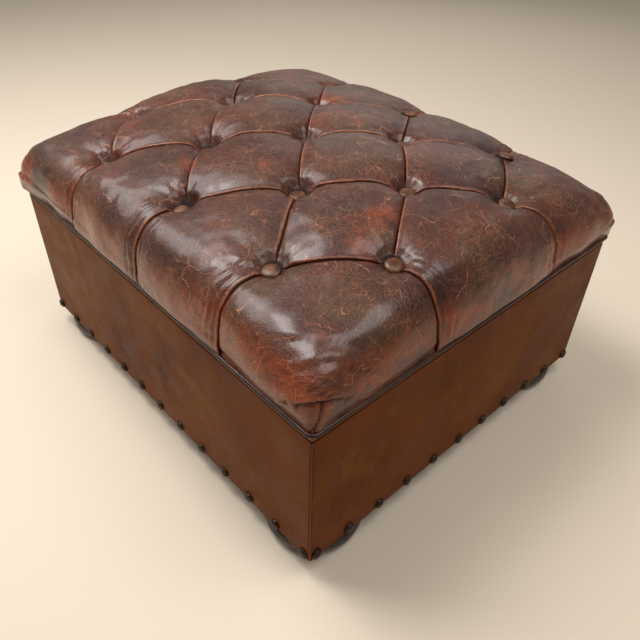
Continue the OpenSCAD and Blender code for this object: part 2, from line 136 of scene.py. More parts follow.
class Noise:
    """Smooth, repeatable value noise in three dimensions."""

    SIZE = 32

    def __init__(self, seed):
        self.grid = np.random.RandomState(seed).rand(self.SIZE, self.SIZE, self.SIZE) * 2 - 1

    def __call__(self, points, scale):
        p = np.asarray(points) / scale
        base = np.floor(p).astype(int)
        f = p - base
        f = f * f * (3 - 2 * f)
        total = 0
        for corner in itertools.product((0, 1), repeat=3):
            i, j, k = ((base[..., n] + d) % self.SIZE for n, d in enumerate(corner))
            u, v, w = (f[..., n] if d else 1 - f[..., n] for n, d in enumerate(corner))
            total = total + u * v * w * self.grid[i, j, k]
        return total


def add_object(name, mesh, body, slot, replaces=(), material=None):
    """Puts a finished mesh in the scene as a piece that rides on a body."""
    obj = bpy.data.objects.new(name, mesh)
    bpy.context.scene.collection.objects.link(obj)
    mesh.materials.clear()
    mesh.materials.append(material or LOOKS[slot])
    for poly in mesh.polygons:
        poly.use_smooth = True
    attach(obj, body)
    if replaces:
        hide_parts(*replaces)
    return obj


def mesh_from(name, points, faces):
    me = bpy.data.meshes.new(name)
    me.from_pydata([tuple(p) for p in points], [], [tuple(int(i) for i in f) for f in faces])
    me.update()
    return me


def float_attribute(mesh, name, values):
    layer = mesh.attributes.new(name, "FLOAT", "POINT")
    layer.data.foreach_set("value", np.asarray(values, np.float32).ravel())


def grid_faces(rows, cols, start=0):
    """Quads of a rows by cols grid of points, numbered row by row from start."""
    r, c = np.meshgrid(np.arange(rows - 1), np.arange(cols - 1), indexing="ij")
    a = (start + r * cols + c).ravel()
    return np.stack([a, a + 1, a + cols + 1, a + cols], 1)


# ------------------------------------------------------------------ lid: base shape

# Rounding where the top rolls over into the side, and the rise of the middle
ROLL = 62 * MM
ROLL_POWER = 4.5
RISE = 139 * MM
# How far the middle's height falls towards the ends and towards the long sides, and how suddenly
FALL_X, CURVE_X = 0.40, 2.7
FALL_Y, CURVE_Y = 0.46, 1.75
# Sharpness of the roll over in section
ROLL_CURVE = 2.8


def crown(x, y):
    """Height of the pillow tops above the rim, before the roll over, and its slopes."""
    p, q = np.abs(x) / RIM_X, np.abs(y) / RIM_Y
    fx, fy = 1 - FALL_X * p**CURVE_X, 1 - FALL_Y * q**CURVE_Y
    dfx = -FALL_X * CURVE_X * p ** (CURVE_X - 1) / RIM_X * np.sign(x)
    dfy = -FALL_Y * CURVE_Y * q ** (CURVE_Y - 1) / RIM_Y * np.sign(y)
    return RISE * fx * fy, RISE * dfx * fy, RISE * fx * dfy


def roll(x, y):
    """How far a point is round the roll over, from 0 to 1 at the rim, and its direction."""
    nx = np.clip((np.abs(x) - (RIM_X - ROLL)) / ROLL, 0, None)
    ny = np.clip((np.abs(y) - (RIM_Y - ROLL)) / ROLL, 0, None)
    n = (nx**ROLL_POWER + ny**ROLL_POWER) ** (1 / ROLL_POWER)
    safe = np.maximum(n, 1e-9)
    away = ROLL_POWER - 1
    return np.clip(n, 0, 1), (nx / safe) ** away * np.sign(x), (ny / safe) ** away * np.sign(y)


def top_surface(x, y):
    """Points and normals of the smooth dome over the plan points."""
    rise, sx, sy = crown(x, y)
    n, gx, gy = roll(x, y)
    s = np.sqrt(np.maximum(0, 1 - n**ROLL_CURVE))
    points = np.stack([x, y, RIM_Z + rise * s], -1)
    fall = ROLL_CURVE / 2 * rise * n ** (ROLL_CURVE - 1) / ROLL
    normals = np.stack([-sx * s * s + fall * gx, -sy * s * s + fall * gy, s], -1)
    return points, normals / np.linalg.norm(normals, axis=-1, keepdims=True)


# Profile of the side below the rim: distance outwards and height, down to the welt, as smooth
# curves through evenly spaced points
TUCK = 5.2 * MM
SIDE_T = np.linspace(0, 1, 7)
SIDE_OUT = np.polyfit(SIDE_T, np.array([0, 0.1, 0, -0.4, -1.4, -3.1, -TUCK / MM]) * MM, 6)
SIDE_UP = np.polyfit(SIDE_T, [1, 0.78, 0.55, 0.33, 0.14, 0.02, -0.09], 6)


def side_surface(x, y, t, square=None):
    """Points and normals of the side below the rim point (x, y), t from 0 to 1 at the welt.

    square is where a corner's points are drawn to at the welt, which is nearly square."""
    n, gx, gy = roll(x, y)
    length = np.maximum(np.hypot(gx, gy), 1e-9)
    gx, gy = gx / length, gy / length
    out = np.polyval(SIDE_OUT, t)
    z = COVER_Z0 + (RIM_Z - COVER_Z0) * np.polyval(SIDE_UP, t)
    points = np.stack([x + gx * out, y + gy * out, z], -1)
    if square is not None:
        pull = smooth(t / 0.8)[..., None]
        points[..., :2] = points[..., :2] * (1 - pull) + square * pull
    return points, np.stack([gx, gy, 0 * gx], -1)


# --------------------------------------------------------------- lid: buttons, creases

BUTTONS = []
for cloud in solids("tuft_buttons"):
    middle = (cloud.min(0) + cloud.max(0)) / 2
    lie = np.linalg.svd(cloud - cloud.mean(0), full_matrices=False)[2][2]
    lie = lie * np.sign(lie[2])
    low = ((cloud - middle) @ lie).min()
    BUTTONS.append((middle + lie * low, lie))
COL = 113.5 * MM
ROW = 133 * MM
SEATS = {}
for centre, lie in BUTTONS:
    SEATS[(round(centre[0] / COL), round(centre[1] / ROW))] = centre

# Drop of the side in the flattened plan, below the rim
SIDE_DROP = 34 * MM


def seat(i, j):
    return SEATS[(i, j)][:2]


def close_to_ends(count, first, power=1.7):
    """Numbers from 0 to 1, close together at both ends: the first step is about first."""
    half = np.linspace(0, 1, count // 2 + 1)
    eased = first * half * count / 2 + (1 - first * count / 2) * half**power
    left = eased / 2
    return np.concatenate([left, 1 - left[-2::-1]])


CREASE_STEPS = close_to_ends(60, 0.0062, 2.0)
# Rows from the crease at the top to the rim, then down the side. The roll over is steepest at
# the rim, so the last rows come closer and closer
ROWS_TOP = close_to_ends(56, 0.008, 1.8)
ROWS_TOP = np.concatenate([ROWS_TOP[ROWS_TOP < 0.978], 1 - 0.00025 * np.arange(9, -1, -1.0) ** 2])
ROWS_SIDE = np.linspace(0, 1, 27)[1:]
ROWS = [(b, 0.0) for b in ROWS_TOP] + [(1.0, t) for t in ROWS_SIDE]


def side_share(count):
    """Share of the way down the side, for every one of count points on every row."""
    return np.repeat([[t] for _, t in ROWS], count, 1)


class Pleat:
    """A pleat that runs from an outer button over the edge and down to the welt.

    along is the plan direction to the edge; bow is how far it strays sideways on the way."""

    def __init__(self, i, j, along, bow, end):
        self.start = seat(i, j)
        self.along = np.array(along, float)
        self.across = np.array([-self.along[1], self.along[0]])
        edge = RIM_X if along[0] else RIM_Y
        self.run = edge - abs(self.start @ self.along)
        self.bow, self.end = bow, end

    def offset(self, b, t):
        """Sideways offset at row b on the top, or t down the side."""
        u = (b * self.run + t * SIDE_DROP) / (self.run + SIDE_DROP)
        return self.bow * np.sin(math.pi * u) * (1 - 0.25 * u) + self.end * smooth(u * 1.15)

    def line(self):
        """Points of the pleat in the flattened plan."""
        b = np.concatenate([np.linspace(0, 1, 22), np.ones(6)])
        t = np.concatenate([np.zeros(22), np.linspace(0, 1, 7)[1:]])
        far = b * self.run + t * SIDE_DROP
        return self.start + far[:, None] * self.along + self.offset(b, t)[:, None] * self.across


# The front and the right end are as photographed; the others repeat them, turned half round
PLEATS = {}
for turn in (1, -1):
    for i, bow, end in ((-2, 9, 8), (0, -8, 3), (2, -10, 0)):
        PLEATS[(i * turn, -2 * turn)] = Pleat(i * turn, -2 * turn, (0, -turn), bow * MM, end * MM)
    for j, bow, end in ((-1, 4, 10), (1, 8, 40)):
        PLEATS[(3 * turn, j * turn)] = Pleat(3 * turn, j * turn, (turn, 0), bow * MM, end * MM)

# Every crease: its line in the flattened plan, and the side that its lip is on
CREASES = []
LIP_ON_LEFT = {(1, -1), (-3, 1), (0, 2)}
for (i, j) in SEATS:
    for di, dj in ((1, 1), (1, -1)):
        if (i + di, j + dj) in SEATS:
            side = -1 if dj < 0 and (i, j) in LIP_ON_LEFT else 1
            CREASES.append((np.array([seat(i, j), seat(i + di, j + dj)]), side, "inner"))
for (i, j), pleat in PLEATS.items():
    CREASES.append((pleat.line(), -1 if pleat.along[1] else 1, "outer"))


def to_segments(plan, line):
    """Distance of each plan point to a line of points, signed by side, and the place along it."""
    best = np.full(plan.shape[:-1], 1e9)
    sign = np.ones_like(best)
    place = np.zeros_like(best)
    steps = np.linalg.norm(np.diff(line, axis=0), axis=1)
    starts = np.concatenate([[0], np.cumsum(steps)])
    for k, (a, b) in enumerate(zip(line[:-1], line[1:])):
        d = b - a
        u = np.clip(((plan - a) @ d) / (d @ d), 0, 1)
        away = plan - (a + u[..., None] * d)
        dist = np.linalg.norm(away, axis=-1)
        near = dist < best
        cross = d[0] * away[..., 1] - d[1] * away[..., 0]
        best = np.where(near, dist, best)
        sign = np.where(near, np.sign(cross), sign)
        place = np.where(near, (starts[k] + u * steps[k]) / starts[-1], place)
    return best, sign, place


lump_noise = Noise(7)
fold_noise = Noise(19)
fan_noise = Noise(23)

FAR = 1e9
# Depth of a crease between two buttons, halfway and at its ends, and of a pleat
GROOVE = 11 * MM
GROOVE_END = 19 * MM
PLEAT_DEPTH = 12 * MM
GROOVE_REACH = 27 * MM
# The sharp crack in the middle of a crease, the lip beside it and how far that leans over
CRACK = 4.5 * MM
LIP = 1.6 * MM
LIP_SHIFT = 3.0 * MM
LIP_REACH = 2.6 * MM
# Buttons: reach of the dip, height of the leather above the seat, and radius of the ring of painted
# shade round them
DIP_REACH = 34 * MM
SEAT_RISE = 1.2 * MM
SHADE_RING_R = 21 * MM
# Creases and buttons further away than this leave a patch alone
CREASE_FAR = 300 * MM
BUTTON_FAR = 200 * MM
# How deep a crease may still be at the welt
WELT_DENT = 1.8 * MM
# The closed underside: how far it is drawn in, and its height over the band's lower edge
UNDER_IN = 6 * MM
UNDER_UP = 17.4 * MM
MERGE = 0.02 * MM


def relief(plan, base):
    """Height of the leather above the smooth dome, its sideways shift, and its wear and painted
    shade.
    """
    groove3, crack, lip, wear, fans = (np.zeros(plan.shape[:-1]) for _ in range(5))
    shift = np.zeros(plan.shape)
    crease_near = np.full(plan.shape[:-1], FAR)
    wander = fan_noise(base, 31 * MM)
    for number, (line, side, kind) in enumerate(CREASES):
        if np.abs(plan - line.mean(0)).max(-1).min() > CREASE_FAR:
            continue
        d, sign, place = to_segments(plan, line)
        crease_near = np.minimum(crease_near, d)
        on_lip = sign * side > 0
        if kind == "inner":
            ends = np.sin(math.pi * place)
            strength = 1.0
            depth = GROOVE + (GROOVE_END - GROOVE) * (1 - ends) ** 1.2
        else:
            ends = smooth(place * 5)
            strength = 1.0 - 0.35 * ramp(place, 0.45, 0.5)
            depth = strength * (PLEAT_DEPTH + (GROOVE_END - PLEAT_DEPTH) * (1 - ends))
            # Finer folds fan out on both sides of a pleat
            spread = bell(d - 16 * MM, 15 * MM) * smooth(place * 4) * smooth((1.02 - place) * 6)
            spread = spread * np.where(on_lip, 1.0, 0.75)
            wave = np.cos(2 * math.pi * d / ((9.5 + 5 * place) * MM) + 3.2 * wander + number)
            fans += 1.0 * MM * spread * np.sign(wave) * np.abs(wave) ** 1.5 * (0.6 + 0.8 * wander)
        groove3 += (depth * bell(d, GROOVE_REACH, 0.8)) ** 3
        sharp = np.where(on_lip, bell(d, 0.9 * MM, 1), bell(d, 2.8 * MM, 1))
        crack = np.maximum(crack, CRACK * strength * sharp)
        bead = np.where(on_lip, bell(d - 2.8 * MM, 2.1 * MM), 0) * (0.35 + 0.65 * ends)
        lip += LIP * bead * strength
        worn = bell(d - 2.2 * MM, 2.3 * MM) * (0.45 + 0.55 * ends)
        wear = np.maximum(wear, np.where(on_lip, worn, 0))
        k = int(len(line) / 2)
        direction = line[k] - line[k - 1]
        direction = direction / np.linalg.norm(direction)
        normal = np.array([-direction[1], direction[0]]) * side
        lean = np.where(on_lip, d / LIP_REACH * np.exp(1 - d / LIP_REACH), 0) * (0.3 + 0.7 * ends)
        shift -= (LIP_SHIFT * strength * lean)[..., None] * normal
    height = lip - crack - np.cbrt(groove3) + fans
    dips = np.zeros_like(height)
    near_button = np.full(height.shape, FAR)
    seated = []
    for (i, j), centre in SEATS.items():
        away = plan - centre[:2]
        r = np.linalg.norm(away, axis=-1)
        if r.min() > BUTTON_FAR:
            continue
        near_button = np.minimum(near_button, r)
        seat_top = crown(centre[0], centre[1])[0] + RIM_Z
        depth = seat_top - centre[2] - GROOVE_END * 1.45 + 2 * MM
        dips = np.maximum(dips, max(depth, 5 * MM) * bell(r, DIP_REACH, 1.4))
        seated.append((1 - ramp(r, 9 * MM, 20 * MM), centre[2] - seat_top + SEAT_RISE))
        # Gathers round the button
        angle = np.arctan2(away[..., 1], away[..., 0]) + 0.25 * wander
        rs = np.random.RandomState(100 + 10 * i + j)
        folds = sum(np.cos(k * angle + rs.rand() * 6.28) * (0.5 + rs.rand()) / k**0.5
                    for k in (5, 7, 9, 13, 17))
        height = height + 1.5 * MM * folds * (bell(r, 44 * MM) * ramp(r, 11 * MM, 12 * MM))
    height = height - dips
    height = height + 2.4 * MM * lump_noise(base, 52 * MM) * ramp(near_button, 15 * MM, 40 * MM)
    height = height + 0.8 * MM * fold_noise(base, 17 * MM) * ramp(near_button, 12 * MM, 20 * MM)
    # Every button lies on the leather
    for share, level in seated:
        height = height * (1 - share) + level * share
    # Painted shade: dark in the crease cracks and in a ring round every button
    painted_shade = np.maximum(crack / CRACK, ramp(near_button, SHADE_RING_R, -7 * MM))
    # Pillow tops, away from creases and buttons: given a painted olive reflection and finer cracks
    # in the material
    crest = ramp(np.minimum(crease_near, near_button * 0.8), 0, 42 * MM)
    return height, shift, wear, painted_shade, crest


def finish_patch(flat, t, plan, square=None, extra=None):
    """Points and attributes of a patch, given its points seen from above, their share of the
    way down the side, and the flattened plan.

    extra is more height, wear and painted shade, for the folds of a corner."""
    x, y = flat[..., 0], flat[..., 1]
    base, normal = top_surface(x, y)
    side_base, side_normal = side_surface(x, y, t, square)
    on_side = (t > 0)[..., None]
    base = np.where(on_side, side_base, base)
    normal = np.where(on_side, side_normal, normal)
    height, shift, wear, painted_shade, crest = relief(plan, base)
    # Little moves at the welt, so that the edge stays tucked in
    hold = 1 - ramp(t, 0.35, 0.65)
    height = height * (1 - 0.3 * smooth(t / 0.3))
    if extra is not None:
        height = height + extra[0]
        wear, painted_shade = np.maximum(wear, extra[1]), np.maximum(painted_shade, extra[2])
    tangent = np.concatenate([shift, np.zeros(shift.shape[:-1] + (1,))], -1)
    tangent -= normal * np.sum(tangent * normal, -1, keepdims=True)
    height = height * hold + np.clip(height, -WELT_DENT, 0) * (1 - hold)
    points = base + normal * height[..., None] + tangent * hold[..., None]
    # Painted shade along the lower edge, in the gap just over the welt
    painted_shade = np.maximum(painted_shade, ramp(t, 0.96, 0.04) * 0.8)
    return points, wear * (0.3 + 0.7 * hold), painted_shade, crest * (1 - smooth(t / 0.5))


def diamond(i, j):
    """The pillow with its left button at (i, j)."""
    a, b = np.meshgrid(CREASE_STEPS, CREASE_STEPS, indexing="ij")
    left, low, high, right = seat(i, j), seat(i + 1, j - 1), seat(i + 1, j + 1), seat(i + 2, j)
    a, b = a[..., None], b[..., None]
    plan = (1 - a) * ((1 - b) * left + b * high) + a * ((1 - b) * low + b * right)
    return finish_patch(plan, np.zeros(a.shape[:2]), plan)


def edge_patch(first, apex, last):
    """A pillow along one edge, between two pleats, below the button at its apex."""
    start, end = PLEATS[first], PLEATS[last]
    crest = np.concatenate([
        seat(*first) + CREASE_STEPS[:, None] * (seat(*apex) - seat(*first)),
        (seat(*apex) + CREASE_STEPS[:, None] * (seat(*last) - seat(*apex)))[1:],
    ])
    along, across = start.along, start.across
    edge = RIM_X if along[0] else RIM_Y
    w = np.abs((crest - crest[0]) @ across) / abs((crest[-1] - crest[0]) @ across)
    room = edge - crest @ along
    flat, plans = [], []
    for b, t in ROWS:
        offset = (1 - w) * start.offset(b, t) + w * end.offset(b, t)
        flat.append(crest + (b * room)[:, None] * along + offset[:, None] * across)
        plans.append(flat[-1] + t * SIDE_DROP * along)
    return finish_patch(np.array(flat), side_share(len(w)), np.array(plans))


def corner_path(half_x, half_y, radius, power, x0, y0):
    """Points round a corner from (x0, half_y) to (half_x, y0), with the length so far at each."""
    phi = np.linspace(math.pi / 2, 0, 41)
    bend = np.stack([
        half_x - radius + radius * np.maximum(np.cos(phi), 0) ** (2 / power),
        half_y - radius + radius * np.maximum(np.sin(phi), 0) ** (2 / power),
    ], 1)
    path = np.concatenate([[[x0, half_y]], bend, [[half_x, y0]]])
    return path, np.concatenate([[0], np.cumsum(np.linalg.norm(np.diff(path, axis=0), axis=1))])


def along_corner(path, dist, s, signs):
    """Points at the fractions s of a corner's path, whose middle is the corner itself."""
    middle = dist[21]
    where = np.where(s < 0.5, s * 2 * middle, middle + (s - 0.5) * 2 * (dist[-1] - middle))
    return np.stack([np.interp(where, dist, path[:, k]) * signs[k] for k in (0, 1)], 1)


def corner_folds(across, down, strength):
    """Seam, dog ear and wrinkles of a corner: more height, wear and painted shade.

    across is the length along the rim from the corner, down the leather's length below the rim."""
    # The fold runs straight over the corner, from welt to welt, with the seam below it
    side = np.abs(across - 13 * MM)
    v = down + 9 * MM - 6.8 * side**2
    window = bell(side, 80 * MM, 6)
    over, under = np.maximum(-v, 0), np.maximum(v, 0)
    ear = np.where(
        v < 0,
        2.6 * MM * bell(over, 10 * MM, 1) * (1 - 0.7 * bell(over, 1.4 * MM, 1)),
        -2.0 * MM * bell(under, 22 * MM, 1) - 1.6 * MM * bell(under, 1.3 * MM, 1),
    )
    height = ear * window
    wear = 0.8 * window * bell(v + 2.4 * MM, 1.8 * MM)
    # Painted shade in the crease under the dog ear
    painted_shade = window * bell(v - 0.7 * MM, 1.1 * MM)
    # Shallower wrinkles further up, that run the same way: height above the rim, shift along
    # it, length and depth in millimetres, and slope
    for up, off, wide, deep, slope in (
        (57, 12, 105, 2.2, 0.60),
        (23, -20, 60, 1.3, 0.36),
        (37, 34, 36, 1.0, 0.30),
        (88, 0, 80, 1.1, 0.45),
    ):
        u = across - off * MM
        w = down + up * MM - slope * (np.hypot(u, 9 * MM) - 9 * MM)
        window = bell(np.abs(u), wide * MM, 4)
        height = height - deep * MM * window * bell(np.abs(w), 3.4 * MM, 1)
        height = height + 0.8 * deep * MM * window * bell(w + 8 * MM, 7 * MM)
        wear = np.maximum(wear, 0.4 * window * bell(w + 2 * MM, 1.6 * MM))
        # Painted shade in the trough of each wrinkle
        painted_shade = np.maximum(painted_shade, 0.7 * window * bell(w, 1.1 * MM))
    seam = across - 9 * MM + 0.36 * np.maximum(down - 12 * MM, 0)
    seam = bell(seam, 1.7 * MM) * smooth(v / (2 * MM))
    height = height * strength - 1.6 * MM * seam
    # The seam's groove is darkened along with the painted shade
    return height, wear * strength, np.maximum(painted_shade * strength, seam)


def corner_patch(first, last):
    """The pillow at a corner, between the pleats of two buttons. first is on the long edge."""
    start, end = PLEATS[first], PLEATS[last]
    a = CREASE_STEPS
    crest = seat(*first) + a[:, None] * (seat(*last) - seat(*first))
    # Rim from the first pleat to the corner's middle, then on to the second pleat
    signs = (np.sign(seat(*last)[0]), np.sign(seat(*first)[1]))
    s = a + 0.8 / (2 * math.pi) * np.sin(2 * math.pi * a)
    x0, y0 = abs(seat(*first)[0]), abs(seat(*last)[1])
    path, dist = corner_path(RIM_X, RIM_Y, ROLL, ROLL_POWER, x0, y0)
    rim = along_corner(path, dist, s, signs)
    across = np.where(s < 0.5, (2 * s - 1) * dist[21], (2 * s - 1) * (dist[-1] - dist[21]))
    low = along_corner(*corner_path(RIM_X - TUCK, RIM_Y - TUCK, 13 * MM, 2.0, x0, y0), s, signs)
    n, gx, gy = roll(rim[:, 0], rim[:, 1])
    out = np.stack([gx, gy], 1) / np.hypot(gx, gy)[:, None]
    flat, squares, plans = [], [], []
    for b, t in ROWS:
        bent = ((1 - a) ** 2 * start.offset(b, t))[:, None] * start.across
        bent = bent + (a**2 * end.offset(b, t))[:, None] * end.across
        flat.append(crest + b * (rim - crest) + bent)
        squares.append(low + bent)
        plans.append(flat[-1] + t * SIDE_DROP * out)
    flat, share = np.array(flat), side_share(len(a))
    x, y = flat[..., 0], flat[..., 1]
    dome = np.where((share > 0)[..., None], side_surface(x, y, share)[0], top_surface(x, y)[0])
    steps = np.linalg.norm(np.diff(dome, axis=0), axis=-1)
    down = np.concatenate([np.zeros((1, len(a))), np.cumsum(steps, axis=0)])
    down = down - down[len(ROWS_TOP) - 1]
    # The near corner has the deepest folds
    extra = corner_folds(np.broadcast_to(across, x.shape), down, 1.0 if first == (2, -2) else 0.45)
    return finish_patch(flat, share, np.array(plans), np.array(squares), extra)


def lid_cover_mesh():
    patches = []
    for (i, j) in SEATS:
        around = [(i + 1, j - 1), (i + 1, j + 1), (i + 2, j)]
        if all(k in SEATS for k in around):
            patches.append(diamond(i, j))
    for i in (-2, 0):
        patches.append(edge_patch((i, -2), (i + 1, -1), (i + 2, -2)))
        patches.append(edge_patch((i, 2), (i + 1, 1), (i + 2, 2)))
    for i in (-3, 3):
        patches.append(edge_patch((i, -1), (i - int(math.copysign(1, i)), 0), (i, 1)))
    for sx, sy in itertools.product((-1, 1), repeat=2):
        patches.append(corner_patch((2 * sx, 2 * sy), (3 * sx, sy)))
    points, faces = [], []
    # Wear, painted shade and pillow tops, kept on the points for the material
    marks = {"wear": [], "painted_shade": [], "crest": []}
    start = 0
    for p, *values in patches:
        rows, cols = p.shape[:2]
        quads = grid_faces(rows, cols, start)
        a, b, c = (p.reshape(-1, 3)[quads[:, k] - start] for k in (0, 1, 3))
        facing = np.sum(np.cross(b - a, c - a), 0)
        mid = p.mean((0, 1)) - [0, 0, RIM_Z - 0.3]
        if facing @ mid < 0:
            quads = quads[:, ::-1]
        points.append(p.reshape(-1, 3))
        faces.append(quads)
        for mark, value in zip(marks.values(), values):
            mark.append(value.ravel())
        start += rows * cols
    me = mesh_from("lid_cover_leather", np.concatenate(points), np.concatenate(faces))
    for mark, values in marks.items():
        float_attribute(me, mark, np.concatenate(values))
    bm = bmesh.new()
    bm.from_mesh(me)
    bmesh.ops.remove_doubles(bm, verts=bm.verts[:], dist=MERGE)
    # Closed underneath, over the board
    rim = [e for e in bm.edges if e.is_boundary]
    made = bmesh.ops.extrude_edge_only(bm, edges=rim)["geom"]
    for v in (g for g in made if isinstance(g, bmesh.types.BMVert)):
        v.co.x *= 1 - UNDER_IN / HALF_X
        v.co.y *= 1 - UNDER_IN / HALF_Y
        v.co.z = LID_Z + UNDER_UP
    rim = [g for g in made if isinstance(g, bmesh.types.BMEdge)]
    bmesh.ops.holes_fill(bm, edges=rim, sides=0)
    bm.to_mesh(me)
    bm.free()
    return me


# --------------------------------------------------------------- building other pieces


def skin(grid, ring=False):
    """Points and faces of a tube of closed loops, one per row: a ring, or capped at its ends."""
    rows, cols = grid.shape[:2]
    r, c = np.meshgrid(np.arange(rows if ring else rows - 1), np.arange(cols), indexing="ij")
    after, beside = (r + 1) % rows, (c + 1) % cols
    quads = [r * cols + c, r * cols + beside, after * cols + beside, after * cols + c]
    faces = np.stack(quads, -1).reshape(-1, 4).tolist()
    if not ring:
        faces.append(list(range(cols)))
        faces.append([(rows - 1) * cols + k for k in range(cols)])
    return grid.reshape(-1, 3), faces


def solid_mesh(name, parts):
    """Mesh of one or more skins, with every face turned outwards."""
    points, faces, start = [], [], 0
    for p, f in parts:
        points.append(p)
        faces += [[i + start for i in face] for face in f]
        start += len(p)
    me = mesh_from(name, np.concatenate(points), faces)
    bm = bmesh.new()
    bm.from_mesh(me)
    bmesh.ops.recalc_face_normals(bm, faces=bm.faces[:])
    bm.to_mesh(me)
    bm.free()
    return me


def lathe(profile, segments):
    """Loops of a turned shape about +Z, from (radius, height) rows."""
    profile = np.array(profile)
    angle = np.linspace(0, 2 * math.pi, segments, endpoint=False)
    ring = np.stack([np.cos(angle), np.sin(angle)], -1)
    return raised(profile[:, None, :1] * ring[None], profile[:, 1:])


def turned_to(axis):
    """Rotation that takes +Z to axis, as a matrix to multiply rows with."""
    axis = np.asarray(axis) / np.linalg.norm(axis)
    helper = np.array([1.0, 0, 0]) if abs(axis[0]) < 0.9 else np.array([0, 1.0, 0])
    u = np.cross(helper, axis)
    u /= np.linalg.norm(u)
    return np.stack([u, np.cross(axis, u), axis])


# Each side of the box: direction along it, direction out of it, half length, half width
SIDES = {
    "front": (np.array([1, 0]), np.array([0, -1]), HALF_X, HALF_Y),
    "right": (np.array([0, 1]), np.array([1, 0]), HALF_Y, HALF_X),
    "back": (np.array([-1, 0]), np.array([0, 1]), HALF_X, HALF_Y),
    "left": (np.array([0, -1]), np.array([-1, 0]), HALF_Y, HALF_X),
}


def mitred_strip(side, section, columns, radius, push=None):
    """Skin of a closed section swept along one side and mitred at both corners.

    section is rows of (outwards, height, rounded), where rounded is 1 on the rows that are
    bent round the corner with the radius. push(along, height, from_end) is how far a rounded
    row stands out."""
    along, out, half_a, half_o = SIDES[side]
    o, z, w = (section[:, k][:, None] for k in range(3))
    end = half_a + o - 0.2929 * radius * w
    d = columns[None] * end
    into = np.clip(np.abs(d) - (half_a + o - radius), 0, radius)
    bend = w * (radius - np.sqrt(np.maximum(radius**2 - into**2, 0)))
    if push is not None:
        bend = bend - w * push(d, np.broadcast_to(z, d.shape), end - np.abs(d))
    xy = d[..., None] * along + (half_o + o - bend)[..., None] * out
    return skin(raised(xy, z).transpose(1, 0, 2))


def strip_columns(half, step, corner):
    """Columns from -1 to 1, about step apart, and closer within a corner's length of the ends."""
    inner = np.linspace(-1, 1, int(2 * half / step)) * (1 - corner / half)
    ends = 1 - corner / half * np.array([0.75, 0.55, 0.4, 0.28, 0.18, 0.1, 0.04, 0])
    return np.concatenate([-ends[::-1], inner, ends])


# ------------------------------------------------------------------------ side leather

LEATHER_T = 2.5 * MM
SIDE_ROUND = 2.2 * MM
CORNER_R = 4.5 * MM
SEAM_IN = 1.1 * MM
FLANGE = 24.5 * MM
STITCH_STEP = 4.8 * MM
THREAD_R = 0.75 * MM
nail_heads = {
    side: np.array([[(g.min(0) + g.max(0)) / 2] for g in solids("nails_" + side)])[:, 0]
    for side in SIDES
}
side_noise = Noise(31)


def side_section():
    """Section of the side leather: turned in over the top and the bottom edge."""
    turn = np.linspace(0, math.pi / 2, 6)
    r, z0, z1 = SIDE_ROUND, SKIRT_Z0, SKIRT_Z1
    rows = [(-FLANGE, z1, 0), (-8 * MM, z1, 0)]
    rows += [(-r + r * math.sin(a), z1 - r + r * math.cos(a), 1) for a in turn]
    rows += [(0, z, 1) for z in np.linspace(z1 - r, z0 + r, 84)[1:-1]]
    rows += [(-r + r * math.cos(a), z0 + r - r * math.sin(a), 1) for a in turn]
    rows += [(-8 * MM, z0, 0), (-FLANGE, z0, 0), (-FLANGE, z0 + LEATHER_T, 0)]
    rows += [(-LEATHER_T, z0 + LEATHER_T, 0), (-LEATHER_T, z1 - LEATHER_T, 0)]
    rows += [(-FLANGE, z1 - LEATHER_T, 0)]
    return np.array(rows)


def side_leather(side):
    """Leather over one side: slack in the middle, drawn in by the nails and at the corner seams."""
    along, _, half_a, _ = SIDES[side]
    spots = [(head[:2] @ along, head[2]) for head in nail_heads[side]]
    nail_line = np.mean([z for _, z in spots])
    number = list(SIDES).index(side)

    def push(d, z, from_end):
        v = (z - SKIRT_Z0) / (SKIRT_Z1 - SKIRT_Z0)
        place = np.stack([d, np.full(d.shape, 0.37 * number + 0.05), z], -1)
        stand = 1.5 * MM * np.sin(math.pi * np.clip(v, 0, 1)) * (1 - np.abs(d / half_a) ** 6)
        stand = stand + 1.1 * MM * side_noise(place, 120 * MM)
        stand = stand + 0.4 * MM * side_noise(place + 0.4, 44 * MM)
        stand = stand + 0.14 * MM * side_noise(place * [1, 1, 0.6] + 0.9, 14 * MM)
        low = bell(np.maximum(z - nail_line, 0), 17 * MM, 1)
        for at, height in spots:
            stand = stand - 0.9 * MM * bell(np.hypot(d - at, z - height), 13 * MM)
            stand = stand - 0.45 * MM * (bell(d - at, 10 * MM) * low)
        ripple = np.cos(2 * math.pi * z / (8.5 * MM) + 3 * side_noise(place, 30 * MM))
        stand = stand + 0.3 * MM * ripple * bell(from_end, 8 * MM, 1)
        edge = np.minimum(z - SKIRT_Z0, SKIRT_Z1 - z)
        hold = smooth(from_end / (6 * MM)) * smooth((edge + 1 * MM) / (9 * MM))
        return stand * hold - SEAM_IN * bell(from_end, 1.3 * MM, 1)

    columns = strip_columns(half_a, 3.6 * MM, 7 * MM)
    strip = mitred_strip(side, side_section(), columns, CORNER_R, push)
    return solid_mesh("side_leather_" + side, [strip])


